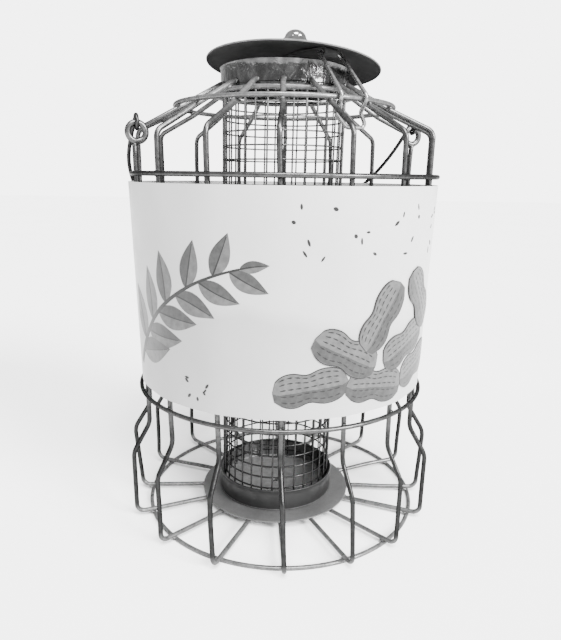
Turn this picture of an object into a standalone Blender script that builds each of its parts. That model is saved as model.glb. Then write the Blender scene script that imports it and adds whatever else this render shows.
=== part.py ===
"""Caged nut bird feeder: a round wire cage on a foot ring, with a mesh tube on a tray inside it,
a collar and a tilted lid on top, a lid loop, a swinging bail handle and a card sleeve round the drum.

The origin is at the centre of the foot ring's underside, +Z is up and the front faces -Y.
"""

import math

import bmesh
import bpy
from mathutils import Matrix, Vector

MM = 0.001

# Clearances
SEAT_GAP = 0.3 * MM
HOOK_CLEARANCE = 0.45 * MM
CUT_OVERRUN = 2.0 * MM

# Wire sizes
CAGE_WIRE = 3.0 * MM
RING_WIRE = 2.8 * MM
BAIL_WIRE = 2.3 * MM
LOOP_WIRE = 2.5 * MM
MESH_WIRE = 1.2 * MM

# Cage: how many uprights, and the radii of its drum, foot and roof
UPRIGHTS = 16
DRUM_RADIUS = 100.0 * MM
FOOT_RADIUS = 112.5 * MM
FOOT_RING_INSET = 10.8 * MM
KNEE_RADIUS = 71.0 * MM
SPOKE_LAP = 10.0 * MM

# Cage heights, each measured from the one before it, from the spokes up to the collar
FOOT_RISE = 48.4 * MM
FLARE_RISE = 20.2 * MM
LOWER_RING_RISE = 24.3 * MM
DRUM_RISE = 146.2 * MM
SHOULDER_RISE = 27.6 * MM
KNEE_RISE = 12.6 * MM
ROOF_TOP_RISE = 15.5 * MM

# Bends of an upright
FOOT_BEND = 6.0 * MM
FLARE_BEND = 14.0 * MM
SHOULDER_BEND = 8.0 * MM
KNEE_BEND = 20.0 * MM

# The cage is wound a little: its uprights turn about the axis from the roof to the foot
ROOF_TURN = math.radians(-1.3)
FOOT_TURN = math.radians(0.9)

# Handle eyes, on two opposite uprights; the right one stands a little higher and further forward
EYE_RADIUS = 6.0 * MM
EYE_DROP = 3.0 * MM
LEFT_EYE_UPRIGHT = 13
RIGHT_EYE_UPRIGHT = 5
RIGHT_EYE_RISE = 4.0 * MM
RIGHT_EYE_TURN = math.radians(-2.0)

# Bail handle
BAIL_DEPTH = 132.0 * MM
BAIL_FULLNESS = 2.6
BAIL_SPLAY = 3.5 * MM
BAIL_SPLAY_POWER = 4
HOOK_SLACK = 1.3 * MM
HOOK_SWEEP = math.radians(250.0)

# Mesh tube, tray, base plate and collar
MESH_RADIUS = 40.7 * MM
MESH_COLUMNS = 32
MESH_ROWS = 7
MESH_TOP_INSET = 4.0 * MM
TRAY_SHEET = 0.8 * MM
TRAY_CLEARANCE = 1.1 * MM
TRAY_HEIGHT = 16.1 * MM
DRAIN_RADIUS = 2.0 * MM
PLATE_RADIUS = 57.0 * MM
PLATE_SHEET = 1.0 * MM
COLLAR_SHEET = 0.6 * MM
COLLAR_HEIGHT = 13.7 * MM
COLLAR_LAP = 3.6 * MM
HEM_HEIGHT = 2.0 * MM
CORE_LEAN = 2.5 * MM

# Card sleeve
SLEEVE_CARD = 0.5 * MM
SLEEVE_FLARE = 2.0 * MM
SLEEVE_FOOT_GAP = 7.9 * MM
SLEEVE_TOP_GAP = 5.2 * MM

# Lid, with its place and tilt on the collar
LID_RADIUS = 56.9 * MM
LID_SHEET = 0.8 * MM
LID_DISH = 8.4 * MM
LID_STEPS = 5
LID_PAD_RADIUS = 10.0 * MM
LID_SHIFT_RIGHT = 5.6 * MM
LID_SHIFT_FRONT = 3.6 * MM
LID_TILT_FRONT = math.radians(5.0)
LID_TILT_LEFT = math.radians(3.2)

# Cap nut, screw and strap
NUT_FLATS = 13.5 * MM
NUT_HEX_HEIGHT = 7.5 * MM
NUT_DOME_RADIUS = 6.6 * MM
NUT_BORE_DEPTH = 9.5 * MM
SCREW_RADIUS = 2.4 * MM
SCREW_GRIP = 7.5 * MM
SCREW_HEAD_RADIUS = 4.6 * MM
SCREW_HEAD_HEIGHT = 2.4 * MM
STRAP_SHEET = 0.8 * MM
STRAP_WIDTH = 10.0 * MM
STRAP_REACH = 40.0 * MM
STRAP_TAIL = 8.0 * MM
STRAP_CURL = math.radians(290.0)

# Lid loop, hung on the dome ring
LOOP_AZIMUTH = math.radians(31.0)
LOOP_HALF_WIDTH = 8.5 * MM
LOOP_BEND = 4.0 * MM
LOOP_DROP = 14.4 * MM
LOOP_TUCK = 6.0 * MM
LOOP_SIDESTEP = 2.5 * MM

# Facets
BEND_STEP = math.radians(22.0)
SHARP_ANGLE = math.radians(35.0)
RING_STEPS = 36
TURNED_STEPS = 48
WIRE_SIDES = 8
WIRE_ROUNDNESS = 1

# How finely the bail's resting place is searched
SEGMENT_SAMPLES = 8
HALVINGS = 30

# Heights above the foot
RING_APOTHEM = RING_WIRE / 2 * math.cos(math.pi / WIRE_SIDES)
SPOKE_HEIGHT = RING_APOTHEM + RING_WIRE / 2 + SEAT_GAP + CAGE_WIRE / 2
FLARE_LOW = SPOKE_HEIGHT + FOOT_RISE
FLARE_HIGH = FLARE_LOW + FLARE_RISE
LOWER_RING_HEIGHT = FLARE_HIGH + LOWER_RING_RISE
UPPER_RING_HEIGHT = LOWER_RING_HEIGHT + DRUM_RISE
SHOULDER_HEIGHT = UPPER_RING_HEIGHT + SHOULDER_RISE
KNEE_HEIGHT = SHOULDER_HEIGHT + KNEE_RISE
ROOF_TOP_HEIGHT = KNEE_HEIGHT + ROOF_TOP_RISE
EYE_HEIGHT = SHOULDER_HEIGHT - EYE_DROP
COLLAR_FOOT = ROOF_TOP_HEIGHT - COLLAR_LAP
COLLAR_TOP = COLLAR_FOOT + COLLAR_HEIGHT

# Radii that follow from what fits in what
HOOP_RADIUS = DRUM_RADIUS + (CAGE_WIRE + RING_WIRE) / 2 + SEAT_GAP
SLEEVE_INNER = DRUM_RADIUS + CAGE_WIRE / 2 + SEAT_GAP
FOOT_RING_RADIUS = FOOT_RADIUS - FOOT_RING_INSET
MESH_OUTER = MESH_RADIUS + MESH_WIRE / 2
COLLAR_INNER = MESH_OUTER + SEAT_GAP
COLLAR_OUTER = COLLAR_INNER + COLLAR_SHEET
TRAY_OUTER = MESH_OUTER + TRAY_CLEARANCE + TRAY_SHEET
EYE_OUTER = EYE_RADIUS + CAGE_WIRE / 2
HOOK_RADIUS = (CAGE_WIRE + BAIL_WIRE) / 2 + HOOK_SLACK
SCREW_HOLE = SCREW_RADIUS + SEAT_GAP


def polar(radius, angle, height):
    """A point at an angle about the axis, counted from the front towards the right."""
    return Vector((radius * math.sin(angle), -radius * math.cos(angle), height))


def make_material(name, grey, roughness, metallic):
    """One plain grey Principled material."""
    material = bpy.data.materials.new(name)
    material.use_nodes = True
    shader = material.node_tree.nodes["Principled BSDF"]
    shader.inputs["Base Color"].default_value = (grey, grey, grey, 1.0)
    shader.inputs["Roughness"].default_value = roughness
    shader.inputs["Metallic"].default_value = metallic
    return material


def link(name, data, material):
    """Put a mesh or a curve into the scene as a named object."""
    item = bpy.data.objects.new(name, data)
    bpy.context.scene.collection.objects.link(item)
    data.materials.append(material)
    return item


def finish_mesh(name, bm, material):
    """Close off a bmesh as a named object with outward faces and smooth round stretches."""
    bmesh.ops.recalc_face_normals(bm, faces=bm.faces)
    mesh = bpy.data.meshes.new(name)
    bm.to_mesh(mesh)
    bm.free()
    mesh.shade_smooth()
    mesh.set_sharp_from_angle(angle=SHARP_ANGLE)
    return link(name, mesh, material)


def rounded(corners, closed=False):
    """Points of a route whose corners, given as (point, bend radius), are rounded to arcs."""
    count = len(corners)
    points = []
    for index, (corner, bend) in enumerate(corners):
        if not closed and index in (0, count - 1):
            points.append(corner)
            continue
        before = corners[index - 1][0]
        after = corners[(index + 1) % count][0]
        to_before = (before - corner).normalized()
        to_after = (after - corner).normalized()
        turn = math.pi - to_before.angle(to_after)
        reach = bend * math.tan(turn / 2)
        centre = corner + (to_before + to_after).normalized() * (bend / math.cos(turn / 2))
        start = corner + to_before * reach - centre
        axis = start.cross(corner + to_after * reach - centre).normalized()
        steps = max(1, math.ceil(turn / BEND_STEP))
        points += [centre + Matrix.Rotation(turn * step / steps, 3, axis) @ start for step in range(steps + 1)]
    return points


def wire(name, points, diameter, material, closed=False):
    """A round wire along a route of points."""
    curve = bpy.data.curves.new(name, "CURVE")
    curve.dimensions = "3D"
    curve.bevel_depth = diameter / 2
    curve.bevel_resolution = WIRE_ROUNDNESS
    curve.use_fill_caps = not closed
    spline = curve.splines.new("POLY")
    spline.points.add(len(points) - 1)
    for target, point in zip(spline.points, points):
        target.co = (*point, 1.0)
    spline.use_cyclic_u = closed
    spline.use_smooth = True
    return link(name, curve, material)


def turned(name, outline, material, steps=TURNED_STEPS, shape=None):
    """A piece turned about Z from a closed outline of (radius, height), poles allowed at radius 0.

    shape, where given, scales a ring's radius: shape(point index, angle).
    """
    bm = bmesh.new()
    rings = []
    for index, (radius, height) in enumerate(outline):
        if radius == 0:
            rings.append([bm.verts.new((0, 0, height))])
            continue
        ring = []
        for step in range(steps):
            angle = 2 * math.pi * step / steps
            reach = radius * (shape(index, angle) if shape else 1)
            ring.append(bm.verts.new(polar(reach, angle, height)))
        rings.append(ring)
    for here, there in zip(rings, rings[1:] + rings[:1]):
        if len(here) == 1 and len(there) == 1:
            continue
        for step in range(steps):
            ahead = (step + 1) % steps
            corners = [here[step % len(here)], here[ahead % len(here)],
                       there[ahead % len(there)], there[step % len(there)]]
            bm.faces.new(list(dict.fromkeys(corners)))
    return finish_mesh(name, bm, material)


def hoop(name, radius, height, material):
    """A cage ring: round wire with a flat facet facing down."""
    outline = []
    for side in range(WIRE_SIDES):
        angle = math.pi * (2 * side + 1) / WIRE_SIDES
        outline.append((radius + RING_WIRE / 2 * math.cos(angle), height + RING_WIRE / 2 * math.sin(angle)))
    return turned(name, outline, material, steps=RING_STEPS)


def place(item, matrix):
    """Move an object by a matrix, keeping its own origin at the matrix's place."""
    item.matrix_world = matrix
    return item


def set_origin(item, point):
    """Put a mesh object's origin on a point without moving its surface."""
    item.data.transform(Matrix.Translation(-point) @ item.matrix_world)
    item.matrix_world = Matrix.Translation(point)
    return item


def upright_angle(index, height):
    """Angle of an upright at a height: its share of the circle and the cage's slow turn."""
    share = min(max(height / UPPER_RING_HEIGHT, 0), 1)
    turn = ROOF_TURN - FOOT_TURN + (RIGHT_EYE_TURN if index == RIGHT_EYE_UPRIGHT else 0)
    return 2 * math.pi * index / UPRIGHTS + FOOT_TURN + turn * share


def upright_point(index, radius, height):
    """A point on an upright."""
    return polar(radius, upright_angle(index, height), height)


def eye_centre(index):
    """Centre of the handle eye on an upright."""
    rise = RIGHT_EYE_RISE if index == RIGHT_EYE_UPRIGHT else 0
    return upright_point(index, DRUM_RADIUS, EYE_HEIGHT + rise)


def roof_slope():
    """Angle of the roof wires above the knee, below the horizontal."""
    return math.atan2(ROOF_TOP_RISE, KNEE_RADIUS - COLLAR_OUTER)


def roof_end_radius():
    """Radius at which the roof wires end, seated on the collar."""
    return COLLAR_OUTER + SEAT_GAP + CAGE_WIRE / 2 * math.sin(roof_slope())


def roof_end(index):
    """The upper end of a roof wire."""
    return upright_point(index, roof_end_radius(), ROOF_TOP_HEIGHT)


def lower_corners(index):
    """Corners of an upright from its spoke's inner end to the top of the flare."""
    return [
        (upright_point(index, PLATE_RADIUS - SPOKE_LAP, SPOKE_HEIGHT), 0),
        (upright_point(index, FOOT_RADIUS, SPOKE_HEIGHT), FOOT_BEND),
        (upright_point(index, FOOT_RADIUS, FLARE_LOW), FLARE_BEND),
        (upright_point(index, DRUM_RADIUS, FLARE_HIGH), FLARE_BEND),
    ]


def make_uprights(steel):
    """The bent cage wires; two of them stop below an eye, and a spur carries on from it."""
    eyes = {LEFT_EYE_UPRIGHT: "left", RIGHT_EYE_UPRIGHT: "right"}
    for index in range(UPRIGHTS):
        name = f"cage_wire_{index + 1:02d}"
        knee = (upright_point(index, KNEE_RADIUS, KNEE_HEIGHT), KNEE_BEND)
        if index in eyes:
            eye = eye_centre(index)
            below_eye = eye.z - EYE_OUTER - SEAT_GAP
            corners = lower_corners(index) + [(upright_point(index, DRUM_RADIUS, below_eye), 0)]
            wire(name, rounded(corners), CAGE_WIRE, steel)
            start = eye + (knee[0] - eye).normalized() * (EYE_OUTER + SEAT_GAP)
            wire(f"roof_spur_{eyes[index]}", rounded([(start, 0), knee, (roof_end(index), 0)]), CAGE_WIRE, steel)
            make_eye(f"handle_eye_{eyes[index]}", index, steel)
        else:
            shoulder = (upright_point(index, DRUM_RADIUS, SHOULDER_HEIGHT), SHOULDER_BEND)
            wire(name, rounded(lower_corners(index) + [shoulder, knee, (roof_end(index), 0)]), CAGE_WIRE, steel)


def make_eye(name, index, steel):
    """A handle eye: a closed wire ring standing in the upright's radial plane."""
    centre = eye_centre(index)
    outward = Vector((centre.x, centre.y, 0)).normalized()
    steps = math.ceil(2 * math.pi / BEND_STEP)
    points = []
    for step in range(steps):
        angle = 2 * math.pi * step / steps
        points.append(centre + outward * EYE_RADIUS * math.cos(angle) + Vector((0, 0, EYE_RADIUS * math.sin(angle))))
    wire(name, points, CAGE_WIRE, steel, closed=True)


def dome_ring_place():
    """Radius and height of the dome ring, seated outside the knee of the roof wires."""
    lower = math.atan2(KNEE_RISE, DRUM_RADIUS - KNEE_RADIUS)
    tilt = (lower + roof_slope()) / 2
    reach = (CAGE_WIRE + RING_WIRE) / 2 + SEAT_GAP
    sag = KNEE_BEND * (1 / math.cos((roof_slope() - lower) / 2) - 1)
    return (KNEE_RADIUS + (reach + sag) * math.sin(tilt), KNEE_HEIGHT + (reach + sag) * math.cos(tilt))


def neck_ring_place():
    """Radius and height of the neck ring, seated under the roof wires beside the collar."""
    reach = (CAGE_WIRE + RING_WIRE) / 2 + SEAT_GAP
    tilt = roof_slope()
    radius = COLLAR_OUTER + RING_WIRE + CAGE_WIRE
    height = ROOF_TOP_HEIGHT - (radius - roof_end_radius()) * math.tan(tilt)
    return (radius - reach * math.sin(tilt), height - reach * math.cos(tilt))


def make_rings(steel):
    """The five rings of the cage."""
    hoop("foot_ring", FOOT_RING_RADIUS, RING_APOTHEM, steel)
    hoop("lower_ring", HOOP_RADIUS, LOWER_RING_HEIGHT, steel)
    hoop("upper_ring", HOOP_RADIUS, UPPER_RING_HEIGHT, steel)
    hoop("dome_ring", *dome_ring_place(), steel)
    hoop("neck_ring", *neck_ring_place(), steel)


def lean(item):
    """Let the foot of a core piece stand a little to the left of the collar above it."""
    for vertex in item.data.vertices:
        share = max(0, 1 - vertex.co.z / COLLAR_FOOT)
        vertex.co.x -= CORE_LEAN * share


def tube_outline(inner, outer, foot, top):
    """A plain tube's outline."""
    return [(inner, foot), (outer, foot), (outer, top), (inner, top)]


def make_core(plate_steel, tray_steel, mesh_steel, collar_steel):
    """Base plate, tray, mesh tube and collar."""
    plate_foot = SPOKE_HEIGHT + CAGE_WIRE / 2 + SEAT_GAP
    plate_top = plate_foot + PLATE_SHEET
    lean(turned("base_plate", tube_outline(DRAIN_RADIUS, PLATE_RADIUS, plate_foot, plate_top), plate_steel))

    tray_foot = plate_top + SEAT_GAP
    floor = tray_foot + TRAY_SHEET
    rim = tray_foot + TRAY_HEIGHT
    tray_inner = TRAY_OUTER - TRAY_SHEET
    outline = [(DRAIN_RADIUS, tray_foot), (TRAY_OUTER, tray_foot), (TRAY_OUTER, rim),
               (tray_inner, rim), (tray_inner, floor), (DRAIN_RADIUS, floor)]
    lean(turned("tray", outline, tray_steel))
    lean(make_mesh_tube(floor + SEAT_GAP, COLLAR_TOP - MESH_TOP_INSET, mesh_steel))

    hem = COLLAR_OUTER + COLLAR_SHEET
    outline = [(COLLAR_INNER, COLLAR_FOOT), (hem, COLLAR_FOOT), (hem, COLLAR_FOOT + HEM_HEIGHT),
               (COLLAR_OUTER, COLLAR_FOOT + HEM_HEIGHT), (COLLAR_OUTER, COLLAR_TOP), (COLLAR_INNER, COLLAR_TOP)]
    turned("collar", outline, collar_steel)


def make_mesh_tube(foot, top, steel):
    """Welded mesh rolled into a tube, drawn with every wire along it and each fifth wire round it."""
    bm = bmesh.new()
    row_pitch = (top - foot - MESH_WIRE) / MESH_ROWS
    bar_angle = MESH_WIRE / MESH_RADIUS
    column_angle = 2 * math.pi / MESH_COLUMNS
    angles = []
    for column in range(MESH_COLUMNS):
        angles += [column * column_angle, column * column_angle + bar_angle]
    heights = []
    for row in range(MESH_ROWS + 1):
        heights += [foot + row * row_pitch, foot + row * row_pitch + MESH_WIRE]
    grid = [[bm.verts.new(polar(MESH_RADIUS, angle, height)) for angle in angles] for height in heights]
    for level in range(len(heights) - 1):
        for column in range(len(angles)):
            if level % 2 and column % 2:
                continue
            ahead = (column + 1) % len(angles)
            bm.faces.new([grid[level][column], grid[level][ahead],
                          grid[level + 1][ahead], grid[level + 1][column]])
    item = finish_mesh("mesh_tube", bm, steel)
    thick = item.modifiers.new("wire thickness", "SOLIDIFY")
    thick.thickness = MESH_WIRE
    thick.offset = 0
    return item


def make_sleeve(card):
    """The card sleeve round the drum, a little wider at its top."""
    foot = LOWER_RING_HEIGHT + SLEEVE_FOOT_GAP
    top = UPPER_RING_HEIGHT - SLEEVE_TOP_GAP
    wide = SLEEVE_INNER + SLEEVE_FLARE
    outline = [(SLEEVE_INNER, foot), (SLEEVE_INNER + SLEEVE_CARD, foot), (wide + SLEEVE_CARD, top), (wide, top)]
    turned("card_sleeve", outline, card)


def eye_axis():
    """Middle of the line through the tops of the eyes, its direction to the right, back from it and up."""
    lift = Vector((0, 0, EYE_RADIUS))
    left = eye_centre(LEFT_EYE_UPRIGHT) + lift
    right = eye_centre(RIGHT_EYE_UPRIGHT) + lift
    along = (right - left).normalized()
    back = Vector((0, 0, 1)).cross(along).normalized()
    return (left + right) / 2, along, back, along.cross(back)


def bail_route():
    """Route of the bail in its own frame: along its axis, out along its depth, and off its plane."""
    arc_steps = math.ceil(HOOK_SWEEP / BEND_STEP)
    hook = []
    for step in range(arc_steps):
        angle = HOOK_SWEEP * (1 - step / arc_steps)
        hook.append(Vector((0, -HOOK_RADIUS * math.sin(angle), HOOK_RADIUS * math.cos(angle))))
    steps = 2 * math.ceil(math.pi / BEND_STEP)
    arch = []
    for step in range(steps + 1):
        angle = math.pi * step / steps
        across = math.copysign(abs(math.cos(angle)) ** (2 / BAIL_FULLNESS), -math.cos(angle))
        depth = abs(math.sin(angle)) ** (2 / BAIL_FULLNESS)
        spread = DRUM_RADIUS + BAIL_SPLAY * (1 - (1 - depth) ** BAIL_SPLAY_POWER)
        arch.append(Vector((spread * across, BAIL_DEPTH * depth, HOOK_RADIUS)))
    left = Vector((-DRUM_RADIUS, 0, 0))
    right = Vector((DRUM_RADIUS, 0, 0))
    return [left + point for point in hook] + arch + [right + point for point in reversed(hook)]


def bail_frame(angle):
    """Frame of the bail when its arch points down, swung back by an angle."""
    middle, along, back, up = eye_axis()
    depth = back * math.sin(angle) - up * math.cos(angle)
    frame = Matrix((along, depth, along.cross(depth))).transposed().to_4x4()
    return Matrix.Translation(middle) @ frame


def bail_clearance(angle):
    """Least gap between the hanging bail and the upper ring, the uprights or the sleeve."""
    sleeve = SLEEVE_INNER + SLEEVE_FLARE + SLEEVE_CARD
    others = [index for index in range(UPRIGHTS) if index not in (LEFT_EYE_UPRIGHT, RIGHT_EYE_UPRIGHT)]
    frame = bail_frame(angle)
    route = [frame @ point for point in bail_route()]
    least = BAIL_DEPTH
    samples = [here.lerp(there, sample / SEGMENT_SAMPLES)
               for here, there in zip(route, route[1:]) for sample in range(SEGMENT_SAMPLES)]
    for point in samples:
        radius = math.hypot(point.x, point.y)
        gaps = [math.hypot(radius - HOOP_RADIUS, point.z - UPPER_RING_HEIGHT) - RING_WIRE / 2]
        if point.z < UPPER_RING_HEIGHT:
            gaps.append(radius - sleeve)
        for index in others:
            upright = upright_point(index, DRUM_RADIUS, point.z)
            gaps.append((point - upright).length - CAGE_WIRE / 2)
        least = min(least, *gaps)
    return least - BAIL_WIRE / 2


def bail_rest_angle():
    """Angle back from straight down at which the bail lies on the upper ring."""
    low, high = 0, math.pi / 2
    for _ in range(HALVINGS):
        middle = (low + high) / 2
        if bail_clearance(middle) > SEAT_GAP:
            high = middle
        else:
            low = middle
    return high


def make_bail(steel):
    """The bail, hanging back on the upper ring, with its origin on the line through the hooks."""
    item = wire("bail_handle", bail_route(), BAIL_WIRE, steel)
    return place(item, bail_frame(bail_rest_angle()))


def lid_normal():
    """The lid's upward direction."""
    return Vector((math.tan(LID_TILT_LEFT), math.tan(LID_TILT_FRONT), 1)).normalized()


def hinge_line():
    """Level direction of the lid loop's hinge, a chord of the dome ring, from left to right."""
    return Vector((math.cos(LOOP_AZIMUTH), math.sin(LOOP_AZIMUTH), 0))


def lid_axes():
    """The lid's frame: along its hinge, inwards across the lid, and up."""
    up = lid_normal()
    level = hinge_line()
    along = (level - up * level.dot(up)).normalized()
    return along, up.cross(along), up


def lid_underside(radius):
    """Height of the lid's underside above the plane of its edge: a shallow dish, level at its pad."""
    return LID_DISH * (1 - (max(radius, LID_PAD_RADIUS) / LID_RADIUS) ** 2)


def lid_centre():
    """Centre of the plane of the lid's edge, with the lid seated on the collar."""
    up = lid_normal()
    base = Vector((LID_SHIFT_RIGHT, -LID_SHIFT_FRONT, 0))
    height = 0
    for step in range(TURNED_STEPS):
        for radius in (COLLAR_INNER, COLLAR_OUTER):
            rim = polar(radius, 2 * math.pi * step / TURNED_STEPS, COLLAR_TOP + SEAT_GAP)
            across = rim - base
            level = -(across.x * up.x + across.y * up.y) / up.z
            under = lid_underside(math.hypot(across.x, across.y)) / up.z
            height = max(height, rim.z - level - under)
    return Vector((base.x, base.y, height))


def lid_matrix():
    """Places what is modelled with the lid's edge at Z = 0 and the hinge towards -Y."""
    along, inwards, up = lid_axes()
    return Matrix.Translation(lid_centre()) @ Matrix((along, inwards, up)).transposed().to_4x4()


def bar_place():
    """Height of the loop's top bar above the plane of the lid's edge, where the strap's curl holds it."""
    strap_top = lid_underside(math.hypot(STRAP_REACH, STRAP_WIDTH / 2)) - SEAT_GAP
    return strap_top - STRAP_SHEET - SEAT_GAP - LOOP_WIRE / 2


def bar_middle():
    """Middle of the loop's top bar, the lid's hinge."""
    return lid_matrix() @ Vector((0, -STRAP_REACH, bar_place()))


def make_lid(lid_steel, chrome, strap_steel):
    """Lid, cap nut, screw and strap, which turn together about the loop's top bar."""
    matrix = lid_matrix()
    pivot = bar_middle()
    pad = lid_underside(0)
    radii = [SCREW_HOLE]
    for step in range(LID_STEPS + 1):
        radii.append(LID_PAD_RADIUS + (LID_RADIUS - LID_PAD_RADIUS) * step / LID_STEPS)
    under = [(radius, lid_underside(radius)) for radius in radii]
    outline = under + [(radius, height + LID_SHEET) for radius, height in reversed(under)]
    set_origin(place(turned("lid", outline, lid_steel), matrix), pivot)

    seat = pad + LID_SHEET + SEAT_GAP
    set_origin(place(make_cap_nut(seat, chrome), matrix), pivot)
    strap_top = pad - SEAT_GAP
    head_top = strap_top - STRAP_SHEET - SEAT_GAP
    outline = [(0, head_top - SCREW_HEAD_HEIGHT), (SCREW_HEAD_RADIUS, head_top - SCREW_HEAD_HEIGHT),
               (SCREW_HEAD_RADIUS, head_top), (SCREW_RADIUS, head_top), (SCREW_RADIUS, seat + SCREW_GRIP),
               (0, seat + SCREW_GRIP)]
    set_origin(place(turned("lid_screw", outline, chrome, steps=RING_STEPS // 2), matrix), pivot)
    make_strap(strap_top, matrix, pivot, strap_steel)


def make_cap_nut(seat, chrome):
    """A hexagon nut with a domed cap and a blind bore."""
    apothem = NUT_FLATS / 2
    bore_top = seat + NUT_BORE_DEPTH
    hex_top = seat + NUT_HEX_HEIGHT
    outline = [(0, bore_top), (SCREW_HOLE, bore_top), (SCREW_HOLE, seat), (apothem, seat), (apothem, hex_top),
               (NUT_DOME_RADIUS, hex_top)]
    dome_steps = math.ceil(math.pi / 2 / BEND_STEP)
    for step in range(1, dome_steps):
        angle = math.pi / 2 * step / dome_steps
        outline.append((NUT_DOME_RADIUS * math.cos(angle), hex_top + NUT_DOME_RADIUS * math.sin(angle)))
    outline.append((0, hex_top + NUT_DOME_RADIUS))
    hexagon = (outline.index((apothem, seat)), outline.index((apothem, hex_top)))

    def flats(index, angle):
        """Reach of a hexagon with a unit apothem."""
        sixth = math.pi / 3
        return 1 / math.cos(angle % sixth - sixth / 2) if index in hexagon else 1

    return turned("cap_nut", outline, chrome, steps=RING_STEPS, shape=flats)


def make_strap(strap_top, matrix, pivot, steel):
    """Flat strap under the lid: level at the screw, down along the dish, and curled round the top bar."""
    middle = STRAP_SHEET / 2
    bar = bar_place()
    curl = LOOP_WIRE / 2 + SEAT_GAP + middle
    line = [(STRAP_TAIL, strap_top - middle), (-STRAP_TAIL, strap_top - middle), (-STRAP_REACH, bar + curl)]
    steps = math.ceil(STRAP_CURL / BEND_STEP)
    for step in range(1, steps + 1):
        angle = math.pi / 2 + STRAP_CURL * step / steps
        line.append((curl * math.cos(angle) - STRAP_REACH, bar + curl * math.sin(angle)))
    line = [Vector(point) for point in line]
    sides = ([], [])
    for index, point in enumerate(line):
        ahead = (line[min(index + 1, len(line) - 1)] - point).normalized()
        behind = (point - line[max(index - 1, 0)]).normalized()
        run = (ahead + behind).normalized()
        across = Vector((-run.y, run.x)) * middle / max(run.dot(ahead), run.dot(behind))
        sides[0].append(point + across)
        sides[1].append(point - across)
    outline = sides[0] + sides[1][::-1]
    bm = bmesh.new()
    half = STRAP_WIDTH / 2
    near, far = ([bm.verts.new((x, point.x, point.y)) for point in outline] for x in (-half, half))
    last = len(line) - 1
    for index in range(last):
        back = len(outline) - 1 - index
        for row in (near, far):
            bm.faces.new([row[index], row[index + 1], row[back - 1], row[back]])
    for index in range(len(outline)):
        ahead = (index + 1) % len(outline)
        bm.faces.new([near[index], near[ahead], far[ahead], far[index]])
    strap = finish_mesh("lid_strap", bm, steel)
    cutter_outline = [(0, strap_top + CUT_OVERRUN), (SCREW_HOLE, strap_top + CUT_OVERRUN),
                      (SCREW_HOLE, strap_top - STRAP_SHEET - CUT_OVERRUN),
                      (0, strap_top - STRAP_SHEET - CUT_OVERRUN)]
    cutter = turned("strap_hole_cutter", cutter_outline, steel, steps=RING_STEPS // 2)
    cutter.hide_render = True
    cutter.display_type = "WIRE"
    hole = strap.modifiers.new("screw hole", "BOOLEAN")
    hole.operation = "DIFFERENCE"
    hole.object = cutter
    set_origin(place(cutter, matrix), pivot)
    set_origin(place(strap, matrix), pivot)


def loop_hinge():
    """Middle of the loop's hinge, the chord of the dome ring between the loop's legs."""
    radius, height = dome_ring_place()
    chord = math.sqrt(radius ** 2 - LOOP_HALF_WIDTH ** 2)
    return polar(chord, LOOP_AZIMUTH, height)


def hook_corner(top, foot, radius):
    """Corner of a leg which, rounded to a radius, lies round the hinge on its outer side."""
    def touch(point, side):
        """Angle at which a line from the point touches the circle of that radius."""
        return math.atan2(point.y, point.x) + side * math.acos(radius / point.length)

    upper = touch(top, -1)
    lower = touch(foot, 1)
    middle = (upper + lower) / 2
    return Vector((math.cos(middle), math.sin(middle))) * radius / math.cos((upper - lower) / 2)


def make_loop(steel):
    """The lid loop: a closed wire with a top bar in the strap, legs over the dome ring and a bar inside."""
    hinge = loop_hinge()
    along = hinge_line()
    outward = Vector((math.sin(LOOP_AZIMUTH), -math.cos(LOOP_AZIMUTH), 0))
    bar = bar_middle()
    bar_along = lid_axes()[0]
    wrap = (LOOP_WIRE + RING_WIRE) / 2 + HOOK_CLEARANCE
    foot = Vector((-LOOP_TUCK, -LOOP_DROP))

    def leg(side):
        """Corners of one leg, from the top bar's end down to the lower bar's end."""
        top = bar + bar_along * side * LOOP_HALF_WIDTH
        seen = Vector(((top - hinge).dot(outward), top.z - hinge.z))
        corner = hook_corner(seen, foot, wrap)
        over = hinge + along * side * LOOP_HALF_WIDTH + outward * corner.x + Vector((0, 0, corner.y))
        under = hinge + along * (side * LOOP_HALF_WIDTH + LOOP_SIDESTEP) + outward * foot.x
        return [(top, LOOP_BEND), (over, wrap), (under + Vector((0, 0, foot.y)), LOOP_BEND)]

    points = rounded(leg(-1) + leg(1)[::-1], closed=True)
    item = wire("lid_loop", [point - hinge for point in points], LOOP_WIRE, steel, closed=True)
    item.location = hinge


def main():
    """Clear the scene and build every piece."""
    for item in list(bpy.data.objects):
        bpy.data.objects.remove(item)
    cage_steel = make_material("cage steel", 0.16, 0.38, 0.9)
    loop_steel = make_material("bare steel", 0.35, 0.3, 1.0)
    plate_steel = make_material("plate steel", 0.25, 0.55, 0.6)
    tray_steel = make_material("tray steel", 0.08, 0.5, 0.6)
    mesh_steel = make_material("mesh steel", 0.12, 0.4, 0.8)
    collar_steel = make_material("collar steel", 0.3, 0.25, 0.9)
    lid_steel = make_material("lid steel", 0.03, 0.45, 0.4)
    chrome = make_material("chrome", 0.8, 0.12, 1.0)
    card = make_material("card", 0.8, 0.35, 0.0)
    make_uprights(cage_steel)
    make_rings(cage_steel)
    make_core(plate_steel, tray_steel, mesh_steel, collar_steel)
    make_sleeve(card)
    make_bail(loop_steel)
    make_lid(lid_steel, chrome, lid_steel)
    make_loop(loop_steel)


main()
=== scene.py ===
"""Looks of the caged nut bird feeder: finer pieces, materials, light and camera."""
import random
from math import acos, atan2, ceil, copysign, cos, degrees, exp, hypot, pi, radians, sin, sqrt, tan

import bmesh
import bpy
from mathutils import Matrix, Vector


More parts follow.
